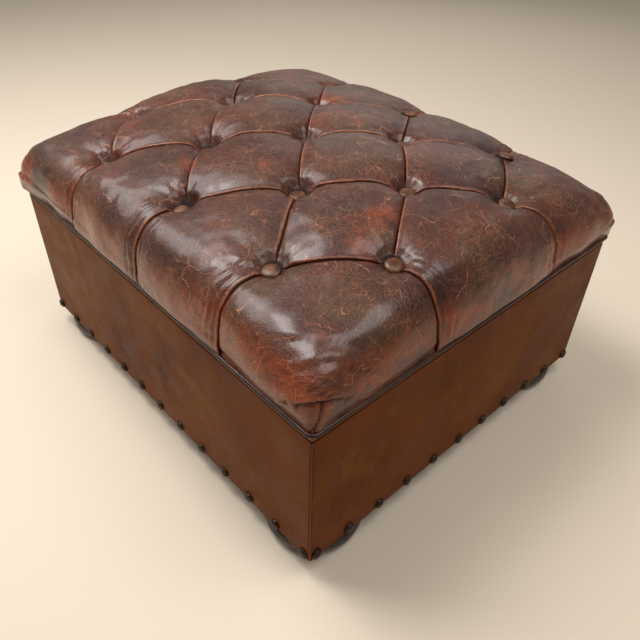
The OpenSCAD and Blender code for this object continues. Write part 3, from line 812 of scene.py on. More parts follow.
def seam_stitches():
    """Thread down the seam of every corner."""
    parts = []
    angle = np.linspace(0, 2 * math.pi, 8, endpoint=False)
    rs = np.random.RandomState(5)
    for sx, sy in itertools.product((-1, 1), repeat=2):
        out = np.array([sx, sy]) / math.sqrt(2)
        along = np.array([-out[1], out[0]])
        edge = np.array([sx * HALF_X, sy * HALF_Y]) - out * CORNER_R * (math.sqrt(2) - 1)
        for z in np.arange(SKIRT_Z0 + 5 * MM, SKIRT_Z1 - 4 * MM, STITCH_STEP):
            s = np.linspace(-1, 1, 9)[:, None]
            radius = THREAD_R * np.sqrt(np.maximum(1 - s**4 * 0.96, 0))
            d = radius * np.cos(angle) + rs.uniform(-0.5, 0.5) * MM * s
            o = radius * np.sin(angle) - 0.15 * MM - 0.7 * MM * s**2
            xy = edge + d[..., None] * along + o[..., None] * out
            parts.append(skin(raised(xy, z + s * 1.4 * MM)))
    return solid_mesh("seam_stitches", parts)


# --------------------------------------------------------------------- nails and buttons

dent_noise = Noise(41)


def nail_row(side):
    """Hammered domes over the trim's nails, no two alike."""
    along, out, _, half_o = SIDES[side]
    parts = []
    rs = np.random.RandomState(60 + list(SIDES).index(side))
    for cloud in solids("nails_" + side):
        head = cloud[(cloud[:, :2] @ out) > half_o - 0.2 * MM]
        radius = (head[:, 2].max() - head[:, 2].min()) / 2
        rise = (head[:, :2] @ out).max() - half_o
        centre = np.array([*(out * half_o), (head[:, 2].max() + head[:, 2].min()) / 2])
        centre[:2] += along * (head[:, :2] @ along).mean()
        profile = [(0.96 * radius, -1.2 * MM), (radius, -0.2 * MM), (radius, 0.7 * MM)]
        profile += [
            (radius * math.cos(a) ** 0.85, 0.7 * MM + (rise - 0.7 * MM) * math.sin(a) ** 0.9)
            for a in np.linspace(0.1, math.pi / 2 - 0.02, 13)
        ]
        grid = lathe(profile, 30)
        turn = rs.uniform(0, 6.28)
        c, s = math.cos(turn), math.sin(turn)
        grid = grid @ np.array([[c, s, 0], [-s, c, 0], [0, 0, 1]])
        grid[..., :2] *= 1 + 0.05 * rs.uniform(-1, 1, 2)
        seed = rs.uniform(0, 1, 3)
        for deep, shift, size in ((0.5, 0, 6), (0.2, 0.3, 2.4)):
            dents = deep * MM * dent_noise(grid + seed + shift, size * MM)
            grid[..., 2] += dents * (grid[..., 2] > 0.8 * MM)
        lean = 0.05 * np.array([*(along * rs.uniform(-1, 1)), rs.uniform(-1, 1)])
        parts.append(skin(grid @ turned_to(np.array([*out, 0]) + lean) + centre))
    return solid_mesh("nail_heads_" + side, parts)


def covered_buttons():
    """Leather gathered over domed buttons."""
    parts = []
    for number, (base, lie) in enumerate(BUTTONS):
        radius, rise = 14.3 * MM, 7.2 * MM
        profile = [(0.5 * radius, 0.2 * MM), (0.86 * radius, 0.1 * MM), (0.97 * radius, 0.9 * MM)]
        profile += [
            (radius * math.cos(a) ** 0.8, 1.8 * MM + (rise - 1.8 * MM) * math.sin(a) ** 0.95)
            for a in np.linspace(0.0, math.pi / 2 - 0.02, 17)
        ]
        grid = lathe(profile, 72)
        angle = np.arctan2(grid[..., 1], grid[..., 0])
        rim = bell(grid[..., 2] - 1.6 * MM, 1.6 * MM)
        fold = np.cos(15 * angle + number) * 0.5 + np.cos(23 * angle + 2.1 * number) * 0.5
        grid[..., :2] *= (1 + 0.022 * rim * fold)[..., None]
        grid[..., 2] += 0.25 * MM * dent_noise(grid + number * 0.13, 9 * MM)
        parts.append(skin(grid @ turned_to(lie) + base))
    return solid_mesh("covered_buttons", parts)


# -------------------------------------------------------------------------- welt, band

welt_noise = Noise(53)


def outline(half_x, half_y, radius, step):
    """Points round a rectangle with rounded corners, and the outward direction at each."""
    points, outs = [], []
    for number, (sx, sy) in enumerate(((1, 1), (-1, 1), (-1, -1), (1, -1))):
        start = number * math.pi / 2
        centre = np.array([sx * (half_x - radius), sy * (half_y - radius)])
        for a in np.linspace(start, start + math.pi / 2, 12):
            outs.append([math.cos(a), math.sin(a)])
            points.append(centre + radius * np.array(outs[-1]))
        nx, ny = ((-1, 1), (-1, -1), (1, -1), (1, 1))[number]
        turn = np.array([math.cos(start + math.pi / 2), math.sin(start + math.pi / 2)])
        target = np.array([nx * (half_x - radius), ny * (half_y - radius)]) + radius * turn
        count = int(np.linalg.norm(target - points[-1]) / step)
        last = points[-1]
        for k in range(1, count):
            points.append(last + (target - last) * k / count)
            outs.append(turn)
    return np.array(points), np.array(outs)


def welt_cord():
    """Piping round the lid, slightly uneven."""
    path, out = outline(welt_hi.x - WELT_R, welt_hi.y - WELT_R, 11 * MM, 4 * MM)
    place = raised(path, WELT_Z)
    angle = np.linspace(0, 2 * math.pi, 20, endpoint=False)
    radius = WELT_R * (0.88 + 0.035 * welt_noise(place, 22 * MM) + 0.02 * welt_noise(place, 6 * MM))
    sway = 0.45 * MM * welt_noise(place + 0.3, 70 * MM)
    rise = 0.5 * MM * welt_noise(place + 0.7, 55 * MM)
    o = sway[:, None] + radius[:, None] * np.cos(angle)
    z = WELT_Z + rise[:, None] + radius[:, None] * np.sin(angle)
    xy = path[:, None] + o[..., None] * out[:, None]
    return solid_mesh("welt_cord", [skin(raised(xy, z), ring=True)])


def band_strip():
    """Narrow leather band under the welt, turned in under the board."""
    z0, z1, thick = LID_Z, band_hi.z, 1 * MM
    rows = [(-22 * MM, z0, 0), (-5 * MM, z0, 0), (-1.2 * MM, z0, 1), (-0.3 * MM, z0 + 0.5 * MM, 1)]
    rows += [(0.5 * MM * math.sin(math.pi * u), z0 + thick + u * (z1 - z0 - 1.6 * MM), 1)
             for u in np.linspace(0, 1, 8)]
    rows += [(-0.6 * MM, z1, 1), (-2.4 * MM, z1, 0), (-2.4 * MM, z0 + thick, 0)]
    rows += [(-22 * MM, z0 + thick, 0)]
    parts = []
    for side, (along, out, half_a, half_o) in SIDES.items():
        def push(d, z, from_end, along=along, out=out, half_o=half_o):
            x, y = (d * along[k] + half_o * out[k] for k in (0, 1))
            uneven = 0.35 * MM * side_noise(np.stack([x, y, z], -1), 40 * MM)
            return uneven * smooth(from_end / (8 * MM))
        columns = strip_columns(half_a, 8 * MM, 7 * MM)
        parts.append(mitred_strip(side, np.array(rows), columns, 3 * MM, push))
    return solid_mesh("lid_band_strip", parts)


# -------------------------------------------------------------------------------- feet


def turned_foot(node):
    """Flattened bun, turned, with a fine groove under its shoulder and softened edges."""
    lo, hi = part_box(node)
    x, y = (lo.x + hi.x) / 2, (lo.y + hi.y) / 2
    widest = (hi.x - lo.x) / 2
    shoulder = hi.z - 1.8 * MM
    mid, half = (lo.z + shoulder) / 2, (shoulder - lo.z) / 2
    rows = [(40 * MM, lo.z), (58 * MM, lo.z + 0.05 * MM), (61.3 * MM, lo.z + 0.6 * MM)]
    for a in np.linspace(-1.45, 1.45, 44):
        end = (62 if a < 0 else 57) * MM
        r = end + (widest - end) * math.cos(a) ** 0.92
        r -= 0.9 * MM * bell(a - 0.78, 0.035)
        rows.append((r, mid + half * math.sin(a)))
    rows += [(55 * MM, shoulder), (50.2 * MM, shoulder), (49.6 * MM, shoulder + 0.6 * MM)]
    rows += [(49.6 * MM, hi.z), (20 * MM, hi.z)]
    grid = lathe(rows, 128)
    grid[..., 0] += x
    grid[..., 1] += y
    return solid_mesh("bun_" + node[5:], [skin(grid)])


# ------------------------------------------------------------------------------ cloths

cloth_noise = Noise(67)


def cloth_slab(name, lo, hi, up, down, cells=110):
    """Thin cloth between two corners; up and down are how much each face is creased."""
    xs = np.linspace(lo[0], hi[0], cells)
    ys = np.linspace(lo[1], hi[1], int(cells * 0.85))
    x, y = np.meshgrid(xs, ys, indexing="xy")
    place = np.stack([x, y, np.zeros_like(x)], -1)
    edge = np.minimum(np.minimum(x - lo[0], hi[0] - x), np.minimum(y - lo[1], hi[1] - y))
    crease = 0.6 * cloth_noise(place, 90 * MM) + 0.4 * cloth_noise(place * [1, 0.45, 1], 26 * MM)
    crease = crease * smooth(edge / (25 * MM))
    top = np.stack([x, y, hi[2] + up * (crease - 1) / 2], -1)
    bottom = np.stack([x, y, lo[2] + down * (1 + crease) / 2], -1)
    return solid_mesh(name, [skin(np.concatenate([top, bottom[:, ::-1]], 1))])


def wall_lining():
    """Cloth round the well, slightly slack, with a hem along its top."""
    lo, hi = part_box("lining_walls")
    outer, inner = -(HALF_X - hi.x), -(HALF_X - hi.x) - 1.5 * MM
    z0, z1 = lo.z, hi.z
    rows = [(outer, z, 0) for z in (z1, z0)]
    rows += [(inner, z, 1) for z in np.linspace(z0, z1 - 14 * MM, 30)]
    rows += [(inner + 0.5 * MM, z1 - 12.6 * MM, 1)]
    rows += [(inner, z1 - 11 * MM, 1), (inner, z1 - 1 * MM, 1)]
    parts = []
    for side, (_, out, half_a, _) in SIDES.items():
        def push(d, z, from_end, out=out):
            place = np.stack([d + 0.31 * out[0], np.full(d.shape, 0.17 * out[1]), z * 0.35], -1)
            slack = 0.5 * cloth_noise(place, 70 * MM) + 0.5 * cloth_noise(place, 24 * MM)
            hold = smooth(from_end / (20 * MM)) * smooth((z1 - 16 * MM - z) / (30 * MM))
            return -1.0 * MM * (slack + 0.3).clip(0) * (hold * ramp(z, z0, 20 * MM))
        columns = strip_columns(half_a, 7 * MM, 7 * MM)
        parts.append(mitred_strip(side, np.array(rows), columns, 0.01 * MM, push))
    return solid_mesh("well_lining", parts)


# ----------------------------------------------------------------------------- materials


class Look:
    """A procedural material in the making. All scales are per metre."""

    def __init__(self, name):
        self.material = bpy.data.materials.new(name)
        self.material.use_nodes = True
        self.tree = self.material.node_tree
        self.shader = self.tree.nodes["Principled BSDF"]
        self.coords = self.node("ShaderNodeTexCoord").outputs["Object"]

    def node(self, kind, **settings):
        made = self.tree.nodes.new(kind)
        for key, value in settings.items():
            setattr(made, key, value)
        return made

    def feed(self, socket, value):
        if isinstance(value, bpy.types.NodeSocket):
            self.tree.links.new(value, socket)
        elif isinstance(value, tuple) and len(value) == 3 and len(socket.default_value) == 4:
            socket.default_value = (*value, 1)
        else:
            socket.default_value = value

    def stretched(self, scale, shift=(0, 0, 0), turn=(0, 0, 0)):
        made = self.node("ShaderNodeMapping")
        self.feed(made.inputs["Vector"], self.coords)
        made.inputs["Scale"].default_value = scale
        made.inputs["Location"].default_value = shift
        made.inputs["Rotation"].default_value = turn
        return made.outputs["Vector"]

    def noise(self, scale, detail=3.0, rough=0.5, distort=0.0, at=None, out="Fac"):
        made = self.node("ShaderNodeTexNoise")
        self.feed(made.inputs["Vector"], at or self.coords)
        keys = ("Scale", "Detail", "Roughness", "Distortion")
        for key, value in zip(keys, (scale, detail, rough, distort)):
            made.inputs[key].default_value = value
        return made.outputs[out]

    def cells(self, scale, feature="F1", at=None):
        made = self.node("ShaderNodeTexVoronoi", feature=feature)
        self.feed(made.inputs["Vector"], at or self.coords)
        made.inputs["Scale"].default_value = scale
        return made.outputs["Distance"]

    def edges(self, scale, at, width):
        """Thin lines between cells: 1 on the lines, 0 at their width."""
        return self.span(self.cells(scale, "DISTANCE_TO_EDGE", at), width, 0.0)

    def warped(self, scale, amount, at=None):
        """Coordinates pushed about by a noise, so that patterns don't run straight."""
        push = self.node("ShaderNodeVectorMath", operation="SCALE")
        self.feed(push.inputs[0], self.noise(scale, 2, out="Color", at=at))
        push.inputs["Scale"].default_value = amount
        total = self.node("ShaderNodeVectorMath", operation="ADD")
        self.feed(total.inputs[0], at or self.coords)
        self.feed(total.inputs[1], push.outputs[0])
        return total.outputs[0]

    def calc(self, operation, a, b=0.5, clamp=False):
        made = self.node("ShaderNodeMath", operation=operation, use_clamp=clamp)
        self.feed(made.inputs[0], a)
        self.feed(made.inputs[1], b)
        return made.outputs[0]

    def times(self, a, b, clamp=False):
        return self.calc("MULTIPLY", a, b, clamp)

    def plus(self, a, b, clamp=False):
        return self.calc("ADD", a, b, clamp)

    def most(self, a, b, clamp=False):
        return self.calc("MAXIMUM", a, b, clamp)

    def less(self, a, b):
        return self.calc("SUBTRACT", a, b)

    def axes(self, at=None):
        """The x, y and z of a place."""
        made = self.node("ShaderNodeSeparateXYZ")
        self.feed(made.inputs[0], at or self.coords)
        return made.outputs

    def span(self, value, low, high, to_low=0.0, to_high=1.0):
        """Smooth step of a value from low to high."""
        made = self.node("ShaderNodeMapRange", interpolation_type="SMOOTHSTEP")
        keys = ("Value", "From Min", "From Max", "To Min", "To Max")
        for key, v in zip(keys, (value, low, high, to_low, to_high)):
            self.feed(made.inputs[key], v)
        return made.outputs[0]

    def patches(self, scale, detail, rough, low, high, full=1.0, shift=None, stretch=(1, 1, 1)):
        """Irregular patches: a noise, stepped smoothly from none at low to full at high."""
        at = self.stretched(stretch, shift) if shift else None
        return self.span(self.noise(scale, detail, rough, at=at), low, high, 0, full)

    def mix(self, factor, a, b):
        made = self.node("ShaderNodeMix", data_type="RGBA", blend_type="MIX")
        self.feed(made.inputs[0], factor)
        self.feed(made.inputs[6], a)
        self.feed(made.inputs[7], b)
        return made.outputs[2]

    def attribute(self, name):
        return self.node("ShaderNodeAttribute", attribute_name=name).outputs["Fac"]

    def bump(self, height, distance, strength=1.0, over=None):
        made = self.node("ShaderNodeBump")
        made.inputs["Strength"].default_value = strength
        made.inputs["Distance"].default_value = distance
        self.feed(made.inputs["Height"], height)
        if over is not None:
            self.feed(made.inputs["Normal"], over)
        return made.outputs[0]

    def finish(self, colour, roughness, normal=None, **constants):
        self.feed(self.shader.inputs["Base Color"], colour)
        self.feed(self.shader.inputs["Roughness"], roughness)
        if normal is not None:
            self.feed(self.shader.inputs["Normal"], normal)
        for key, value in constants.items():
            self.feed(self.shader.inputs[key.replace("_", " ")], value)
        return self.material


def lid_leather():
    """Worn, crackled leather: painted shade in the folds, a painted olive reflection on the pillow
    tops, rubbed orange on the lips, fine pale cracks.
    """
    m = Look("lid_leather_worn")
    place = m.stretched
    crest = m.attribute("crest")
    base = m.mix(m.patches(6, 4, 0.6, 0.36, 0.64), (0.026, 0.0045, 0.0022), (0.078, 0.014, 0.0042))
    # Olive-grey tint in random patches, stronger on the pillow tops, where it is a painted
    # reflection
    olive_and_top_reflection = m.plus(m.noise(7.5, 4, 0.6, at=place((1, 1, 1), (3, 1, 2))), m.times(crest, 0.06))
    base = m.mix(m.span(olive_and_top_reflection, 0.50, 0.68, 0, 0.85), base, (0.054, 0.023, 0.007))
    # Burnt red towards the lower edges, and paler again just over the welt
    height = m.plus(m.axes()[2], m.times(m.noise(14, 3), 0.05))
    low = m.span(height, 0.455, 0.405)
    burnt = m.times(low, m.patches(9, 5, 0.65, 0.38, 0.56, 1, (1, 5, 0)))
    burnt = m.most(burnt, m.patches(9, 5, 0.65, 0.57, 0.72, 0.75, (4, 2, 6)))
    base = m.mix(burnt, base, (0.225, 0.033, 0.003))
    base = m.mix(m.times(m.span(height, 0.378, 0.362), 0.25), base, (0.066, 0.024, 0.006))
    mottle = m.patches(75, 5, 0.7, 0.38, 0.7)
    base = m.mix(m.times(mottle, 0.6), base, (0.020, 0.005, 0.003))
    base = m.mix(m.times(m.patches(210, 4, 0.7, 0.5, 0.75), 0.35), base, (0.20, 0.070, 0.028))
    # Cracks: long angular ones, a finer net between them, and the finest where most worn
    def net(scale, width, at, *where):
        return m.times(m.edges(scale, at, width), m.patches(*where))

    wild = m.warped(55, 0.012, at=m.warped(14, 0.05))
    other = m.warped(20, 0.04, at=place((1, 1.6, 1), (5, 0, 3), (0, 0, 0.9)))
    other = m.warped(70, 0.008, at=other)
    strands = m.warped(35, 0.02, at=place((1.9, 0.7, 1), (2, 6, 1), (0, 0, 0.5)))
    crossed = m.warped(35, 0.02, at=place((0.6, 1.7, 1), (1, 4, 8), (0, 0, -0.6)))
    cracks = net(15, 0.012, wild, 40, 4, 0.6, 0.44, 0.56)
    cracks = m.most(cracks, net(33, 0.020, other, 33, 4, 0.6, 0.47, 0.60, 0.85))
    fine = net(46, 0.026, strands, 37, 4, 0.6, 0.46, 0.60, 0.65, (3, 3, 1))
    for row in (
        (58, 0.030, crossed, 41, 4, 0.6, 0.48, 0.62, 0.55, (9, 1, 2)),
        (95, 0.05, m.warped(60, 0.010), 27, 4, 0.6, 0.42, 0.62, 0.75),
        (210, 0.08, m.warped(130, 0.005), 19, 4, 0.6, 0.42, 0.62, 0.45),
    ):
        fine = m.most(fine, net(*row))
    worn_area = m.patches(8, 3, 0.5, 0.34, 0.56, 1, (7, 2, 4))
    fine = m.times(fine, m.times(worn_area, m.span(crest, 0.0, 0.8, 0.35, 1.0)))
    cracks = m.most(cracks, fine, clamp=True)
    colour = m.mix(m.times(cracks, 0.66), base, (0.42, 0.170, 0.090))
    wear = m.times(m.attribute("wear"), m.span(m.noise(16, 3), 0.36, 0.62, 0.45, 1.0))
    ragged = m.times(wear, m.patches(120, 4, 0.7, 0.25, 0.6))
    colour = m.mix(m.times(ragged, 0.85), colour, (0.36, 0.110, 0.040))
    # Painted shade: near black in the crease cracks, round the buttons, under the corner folds and
    # over the welt; matte and with less coat there
    painted_shade = m.attribute("painted_shade")
    colour = m.mix(m.times(painted_shade, 0.93), colour, (0.005, 0.002, 0.0015))
    rough = m.span(m.noise(26, 4, 0.65), 0.3, 0.7, 0.23, 0.38)
    rough = m.plus(rough, m.times(cracks, 0.2), clamp=True)
    rough = m.plus(rough, m.times(painted_shade, 0.5), clamp=True)
    grain = m.times(m.cells(520, at=m.warped(200, 0.004)), 0.7)
    creasing = m.plus(m.noise(120, 5, 0.65, 0.4), m.times(m.noise(300, 4, 0.7), 0.7))
    height = m.plus(grain, m.times(creasing, 1.2))
    height = m.less(height, cracks)
    normal = m.bump(m.noise(34, 3, 0.5, 0.8), 0.0030, 0.38)
    normal = m.bump(height, 0.0010, 0.8, over=normal)
    shine = m.times(m.less(1.0, painted_shade), 0.5, clamp=True)
    return m.finish(colour, rough, normal, Coat_Weight=shine, Coat_Roughness=0.23,
                    Specular_IOR_Level=0.26, Specular_Tint=(1.0, 0.82, 0.78))


def side_leather_look():
    """Smooth waxed leather, mottled brown with fine streaks and a few scuffs."""
    m = Look("side_leather_waxed")
    base = m.mix(m.patches(5, 5, 0.62, 0.33, 0.66), (0.100, 0.019, 0.001), (0.148, 0.038, 0.002))
    base = m.mix(m.patches(9, 5, 0.65, 0.52, 0.75, 1, (4, 2, 1)), base, (0.160, 0.057, 0.006))
    dark = m.patches(13, 5, 0.7, 0.55, 0.78, 1, (2, 7, 1), (1, 1, 0.4))
    base = m.mix(dark, base, (0.056, 0.014, 0.004))
    speck = m.patches(240, 4, 0.7, 0.52, 0.75)
    base = m.mix(m.times(speck, 0.35), base, (0.030, 0.009, 0.004))
    scuff = m.times(m.edges(17, m.warped(30, 0.03), 0.012), m.patches(22, 3, 0.5, 0.54, 0.66))
    colour = m.mix(m.times(scuff, 0.4), base, (0.26, 0.12, 0.05))
    # Dark in the seams at the corners
    x, y, _ = m.axes()
    gap = m.most(m.less(HALF_X, m.calc("ABSOLUTE", x)), m.less(HALF_Y, m.calc("ABSOLUTE", y)))
    colour = m.mix(m.span(gap, 3.6 * MM, 2.4 * MM, 0, 0.85), colour, (0.014, 0.005, 0.003))
    rough = m.span(m.noise(20, 4, 0.6), 0.3, 0.7, 0.42, 0.56)
    grain = m.plus(m.times(m.cells(700), 0.5), m.noise(180, 5, 0.6))
    normal = m.bump(m.noise(28, 3, 0.5, 0.3), 0.0016, 0.3)
    normal = m.bump(grain, 0.0004, 0.4, over=normal)
    return m.finish(colour, rough, normal, IOR=1.22, Specular_IOR_Level=0.4,
                    Specular_Tint=(1.0, 0.62, 0.34))


def plain_leather(name, dark, light, worn, amount):
    """Thin leather of a welt or a button, rubbed in patches."""
    m = Look(name)
    base = m.mix(m.patches(60, 5, 0.65, 0.35, 0.66), dark, light)
    rub = m.times(m.patches(35, 4, 0.7, 0.5, 0.7), amount)
    colour = m.mix(rub, base, worn)
    crack = m.edges(230, m.warped(120, 0.004), 0.03)
    crack = m.times(crack, m.patches(70, 2, 0.5, 0.45, 0.62))
    colour = m.mix(m.times(crack, 0.35), colour, worn)
    rough = m.span(m.noise(90, 4), 0.3, 0.7, 0.3, 0.46)
    normal = m.bump(m.plus(m.cells(700), m.noise(260, 4, 0.6)), 0.0004, 0.5)
    return m.finish(colour, rough, normal, Coat_Weight=0.15, Coat_Roughness=0.22,
                    Specular_IOR_Level=0.35, Specular_Tint=(1.0, 0.78, 0.68))


def nail_metal():
    """Aged bronze, paler in patches and with dark specks."""
    m = Look("nail_aged_bronze")
    worn = m.patches(330, 4, 0.6, 0.42, 0.66)
    colour = m.mix(worn, (0.020, 0.013, 0.010), (0.085, 0.055, 0.038))
    colour = m.mix(m.patches(900, 3, 0.5, 0.55, 0.7), colour, (0.012, 0.009, 0.008))
    rough = m.span(m.noise(500, 3), 0.3, 0.7, 0.32, 0.55)
    normal = m.bump(m.noise(700, 4, 0.6), 0.0006, 0.6)
    return m.finish(colour, rough, normal, Metallic=0.75)


def wood(name, dark, light, grain, rough_low, rough_high, axis=0, coat=0.0):
    """Wood with long grain along one axis and fine pores."""
    m = Look(name)
    stretch = [1.0, 1.0, 1.0]
    stretch[axis] = 0.08
    at = m.stretched(tuple(stretch))
    rings = m.noise(grain, 5, 0.6, 1.2, at=at)
    pores = m.noise(grain * 9, 3, 0.7, at=at)
    colour = m.mix(m.span(rings, 0.32, 0.68), dark, light)
    colour = m.mix(m.times(m.span(pores, 0.55, 0.72), 0.45), colour, tuple(c * 0.6 for c in dark))
    rough = m.span(pores, 0.3, 0.7, rough_low, rough_high)
    normal = m.bump(m.plus(rings, pores), 0.0003, 0.5)
    return m.finish(colour, rough, normal, Coat_Weight=coat, Coat_Roughness=0.25)


def metal(name, colour_a, colour_b, rough_low, rough_high):
    """Plated metal with fine drawn scratches and duller patches."""
    m = Look(name)
    scratches = m.noise(500, 3, 0.6, at=m.stretched((1, 0.05, 1)))
    patches = m.noise(60, 4, 0.6)
    colour = m.mix(m.span(patches, 0.4, 0.7), colour_a, colour_b)
    rough = m.plus(m.times(scratches, 0.5), m.times(patches, 0.5))
    rough = m.span(rough, 0.3, 0.7, rough_low, rough_high)
    normal = m.bump(scratches, 0.0001, 0.4)
    return m.finish(colour, rough, normal, Metallic=1.0)


def woven(name, dark, light, threads, sheen):
    """Plain woven cloth: threads over and under, with slubs."""
    m = Look(name)
    axes = m.axes(m.warped(60, 0.0012))
    made = [m.calc("SINE", m.times(axis, threads * 2 * math.pi)) for axis in axes]
    weave = m.times(m.plus(made[0], made[2]), m.plus(made[1], 0.6))
    weave = m.plus(m.times(weave, 0.2), 0.5, clamp=True)
    slub = m.span(m.noise(260, 4, 0.7, at=m.stretched((1, 0.12, 1))), 0.42, 0.7)
    colour = m.mix(weave, dark, light)
    colour = m.mix(m.times(slub, 0.35), colour, tuple(min(1.0, c * 1.5) for c in light))
    normal = m.bump(m.plus(weave, m.noise(900, 2)), 0.0004, 0.6)
    return m.finish(colour, 0.85, normal, Sheen_Weight=sheen, Sheen_Roughness=0.5)


def felted(name, dark, light, scale, rough=0.9):
    """Foam, wadding, felt, rubber or nylon: a fine irregular surface."""
    m = Look(name)
    fibres = m.noise(scale, 5, 0.7)
    colour = m.mix(m.span(fibres, 0.35, 0.68), dark, light)
    colour = m.mix(m.times(m.span(m.noise(scale / 14, 3), 0.45, 0.7), 0.3), colour, dark)
    rough = m.span(fibres, 0.3, 0.7, rough - 0.12, rough)
    return m.finish(colour, rough, m.bump(fibres, 0.0005, 0.5))


def twisted(name, dark, light):
    """Waxed thread with its twist."""
    m = Look(name)
    strand = m.noise(1500, 2, 0.5, at=m.stretched((1, 1, 0.35), turn=(0.6, 0.4, 0)))
    colour = m.mix(m.span(strand, 0.4, 0.6), dark, light)
    return m.finish(colour, m.span(strand, 0.3, 0.7, 0.45, 0.65), m.bump(strand, 0.0003, 0.6))


LOOKS = {
    "lid_leather": lid_leather(),
    "side_leather": side_leather_look(),
    "welt_leather": plain_leather("welt_leather_dark", (0.012, 0.004, 0.003), (0.036, 0.011, 0.007),
                                  (0.17, 0.06, 0.03), 0.35),
    "button_leather": plain_leather("button_leather_rubbed", (0.036, 0.011, 0.005),
                                    (0.100, 0.034, 0.012), (0.22, 0.085, 0.036), 0.4),
    "nail_bronze": nail_metal(),
    "foot_wood": wood("foot_wood_ebonised", (0.006, 0.004, 0.003), (0.026, 0.016, 0.011), 40,
                      0.28, 0.45, coat=0.2),
    "plywood": wood("plywood_birch", (0.40, 0.26, 0.14), (0.60, 0.43, 0.26), 60, 0.5, 0.7),
    "block_wood": wood("block_softwood", (0.32, 0.19, 0.09), (0.52, 0.34, 0.18), 45, 0.55, 0.75, 1),
    "steel": metal("steel_zinc", (0.50, 0.51, 0.53), (0.36, 0.37, 0.38), 0.22, 0.42),
    "hinge_brass": metal("hinge_antique_brass", (0.36, 0.26, 0.11), (0.14, 0.09, 0.04), 0.25, 0.5),
    "wadding": felted("wadding_polyester", (0.62, 0.60, 0.54), (0.84, 0.82, 0.77), 400),
    "foam": felted("foam_cream", (0.52, 0.44, 0.26), (0.74, 0.66, 0.44), 700),
    "lining_cloth": woven("lining_cotton", (0.008, 0.007, 0.006), (0.032, 0.027, 0.023), 700, 0.3),
    "dust_cloth": felted("dust_cambric", (0.006, 0.006, 0.006), (0.022, 0.022, 0.022), 900),
    "glide_plastic": felted("glide_nylon", (0.012, 0.012, 0.013), (0.030, 0.030, 0.032), 500, 0.55),
    "bumper_rubber": felted("bumper_rubber", (0.008, 0.008, 0.008), (0.022, 0.021, 0.020), 800,
                            0.8),
    "twine": twisted("twine_waxed", (0.30, 0.22, 0.12), (0.52, 0.42, 0.26)),
}
seam_thread = twisted("seam_thread", (0.20, 0.044, 0.018), (0.44, 0.125, 0.056))

node_slots = {row["node"]: row["material_slot"] for row in frame["record"]["subparts"]}
for name, node in NODES.items():
    node.data.materials.clear()
    node.data.materials.append(LOOKS[node_slots[name]])

# -------------------------------------------------------------------------- all pieces

cover = add_object("tufted_cover", lid_cover_mesh(), "lid", "lid_leather",
                   ("lid_cover", "lid_batting", "lid_foam"))
add_object("covered_buttons", covered_buttons(), "lid", "button_leather", ("tuft_buttons",))
add_object("welt_cord", welt_cord(), "lid", "welt_leather", ("lid_welt",))
add_object("lid_band_strip", band_strip(), "lid", "lid_leather", ("lid_band",))
for side in SIDES:
    stands_for = ("leather_" + side, "side_batting") if side == "front" else ("leather_" + side,)
    add_object("side_leather_" + side, side_leather(side), "box", "side_leather", stands_for)
    add_object("nail_heads_" + side, nail_row(side), "box", "nail_bronze", ("nails_" + side,))
add_object("seam_stitches", seam_stitches(), "box", "twine", material=seam_thread)
for corner in ("front_left", "front_right", "back_left", "back_right"):
    node = "foot_" + corner
    add_object("bun_" + corner, turned_foot(node), "box", "foot_wood", (node,))

walls = ["panel_front", "panel_right", "panel_back", "panel_left"]
lining = add_object("well_lining", wall_lining(), "box", "lining_cloth", ("lining_walls",))
lo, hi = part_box("lining_walls")
for name, node, body, slot, up, down, under in (
    ("well_floor_cloth", "lining_floor", "box", "lining_cloth", 0.7, 0, ["base_board"]),
    ("lid_underside_cloth", "lid_lining", "lid", "lining_cloth", 0, 0.5, ["lid_board"]),
    ("dust_cloth", "dust_cover", "box", "dust_cloth", 0, 0.5, walls),
):
    lo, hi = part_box(node)
    cloth = add_object(name, cloth_slab(name, lo, hi, up * MM, down * MM), body, slot, (node,))

# --------------------------------------------------------------- floor, light, camera


LAMPS_AIM = (0, 0, 0.3)


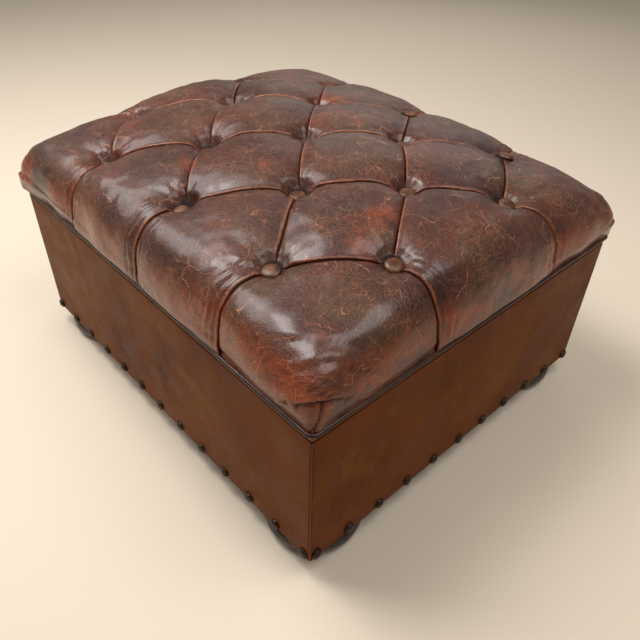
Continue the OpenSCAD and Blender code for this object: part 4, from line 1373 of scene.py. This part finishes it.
def studio():
    """Pale floor, soft light all round, and large soft lights from the left, above and behind."""
    bpy.ops.mesh.primitive_plane_add(size=14, location=(0, 0, 0))
    floor = bpy.context.object
    floor.name = "floor"
    mat = bpy.data.materials.new("floor_plain")
    mat.use_nodes = True
    sockets = mat.node_tree.nodes["Principled BSDF"].inputs
    sockets["Base Color"].default_value = (0.68, 0.58, 0.46, 1)
    sockets["Roughness"].default_value = 0.8
    sockets["Specular IOR Level"].default_value = 0.2
    floor.data.materials.append(mat)
    world = bpy.data.worlds.new("soft_room")
    bpy.context.scene.world = world
    world.use_nodes = True
    sky = world.node_tree.nodes["Background"].inputs
    sky["Color"].default_value = (1.0, 0.95, 0.88, 1)
    sky["Strength"].default_value = 0.24
    for name, place, size, power in (
        ("window", (-1.5, -0.8, 2.2), 1.7, 48),
        ("skylight", (-0.42, -0.46, 2.1), 0.75, 24),
        ("ceiling", (1.1, 0.3, 2.4), 1.4, 30),
        ("wall", (-1.3, 2.0, 1.6), 2.2, 6),
    ):
        light = bpy.data.lights.new(name, "AREA")
        light.size = size
        light.energy = power
        lamp = bpy.data.objects.new(name, light)
        bpy.context.scene.collection.objects.link(lamp)
        lamp.location = place
        beam = Vector(LAMPS_AIM) - Vector(place)
        lamp.rotation_euler = beam.to_track_quat("-Z", "Y").to_euler()


# The camera's angles in degrees, its focal length over the picture's width, and its place in
# lengths of the box, from the middle of the skirt's lower edge
CAMERA_ANGLES = (46.7744, 39.6623, -1.5782)
CAMERA_FOCAL = 654.5 / 640
CAMERA_PLACE = (0.96423, -0.85155, 1.09454)
SENSOR = 36


def photograph_camera():
    """Camera at the photograph's angle: round from the front, above the horizon, rolled."""
    azimuth, elevation, tilt = (math.radians(d) for d in CAMERA_ANGLES)
    data = bpy.data.cameras.new("camera")
    data.sensor_width = SENSOR
    data.lens = SENSOR * CAMERA_FOCAL
    cam = bpy.data.objects.new("camera", data)
    bpy.context.scene.collection.objects.link(cam)
    back = Vector((math.sin(azimuth) * math.cos(elevation),
                   -math.cos(azimuth) * math.cos(elevation), math.sin(elevation)))
    right = (-back).cross(Vector((0, 0, 1))).normalized()
    down = (-back).cross(right)
    side = right * math.cos(tilt) + down * math.sin(tilt)
    up = right * math.sin(tilt) - down * math.cos(tilt)
    place = Vector(CAMERA_PLACE) * (2 * HALF_X) + Vector((0, 0, SKIRT_Z0))
    cam.matrix_world = Matrix.Translation(place) @ Matrix((side, up, back)).transposed().to_4x4()
    data.clip_start = 0.01
    bpy.context.scene.camera = cam
    bpy.context.scene.view_settings.view_transform = "Standard"


studio()
photograph_camera()
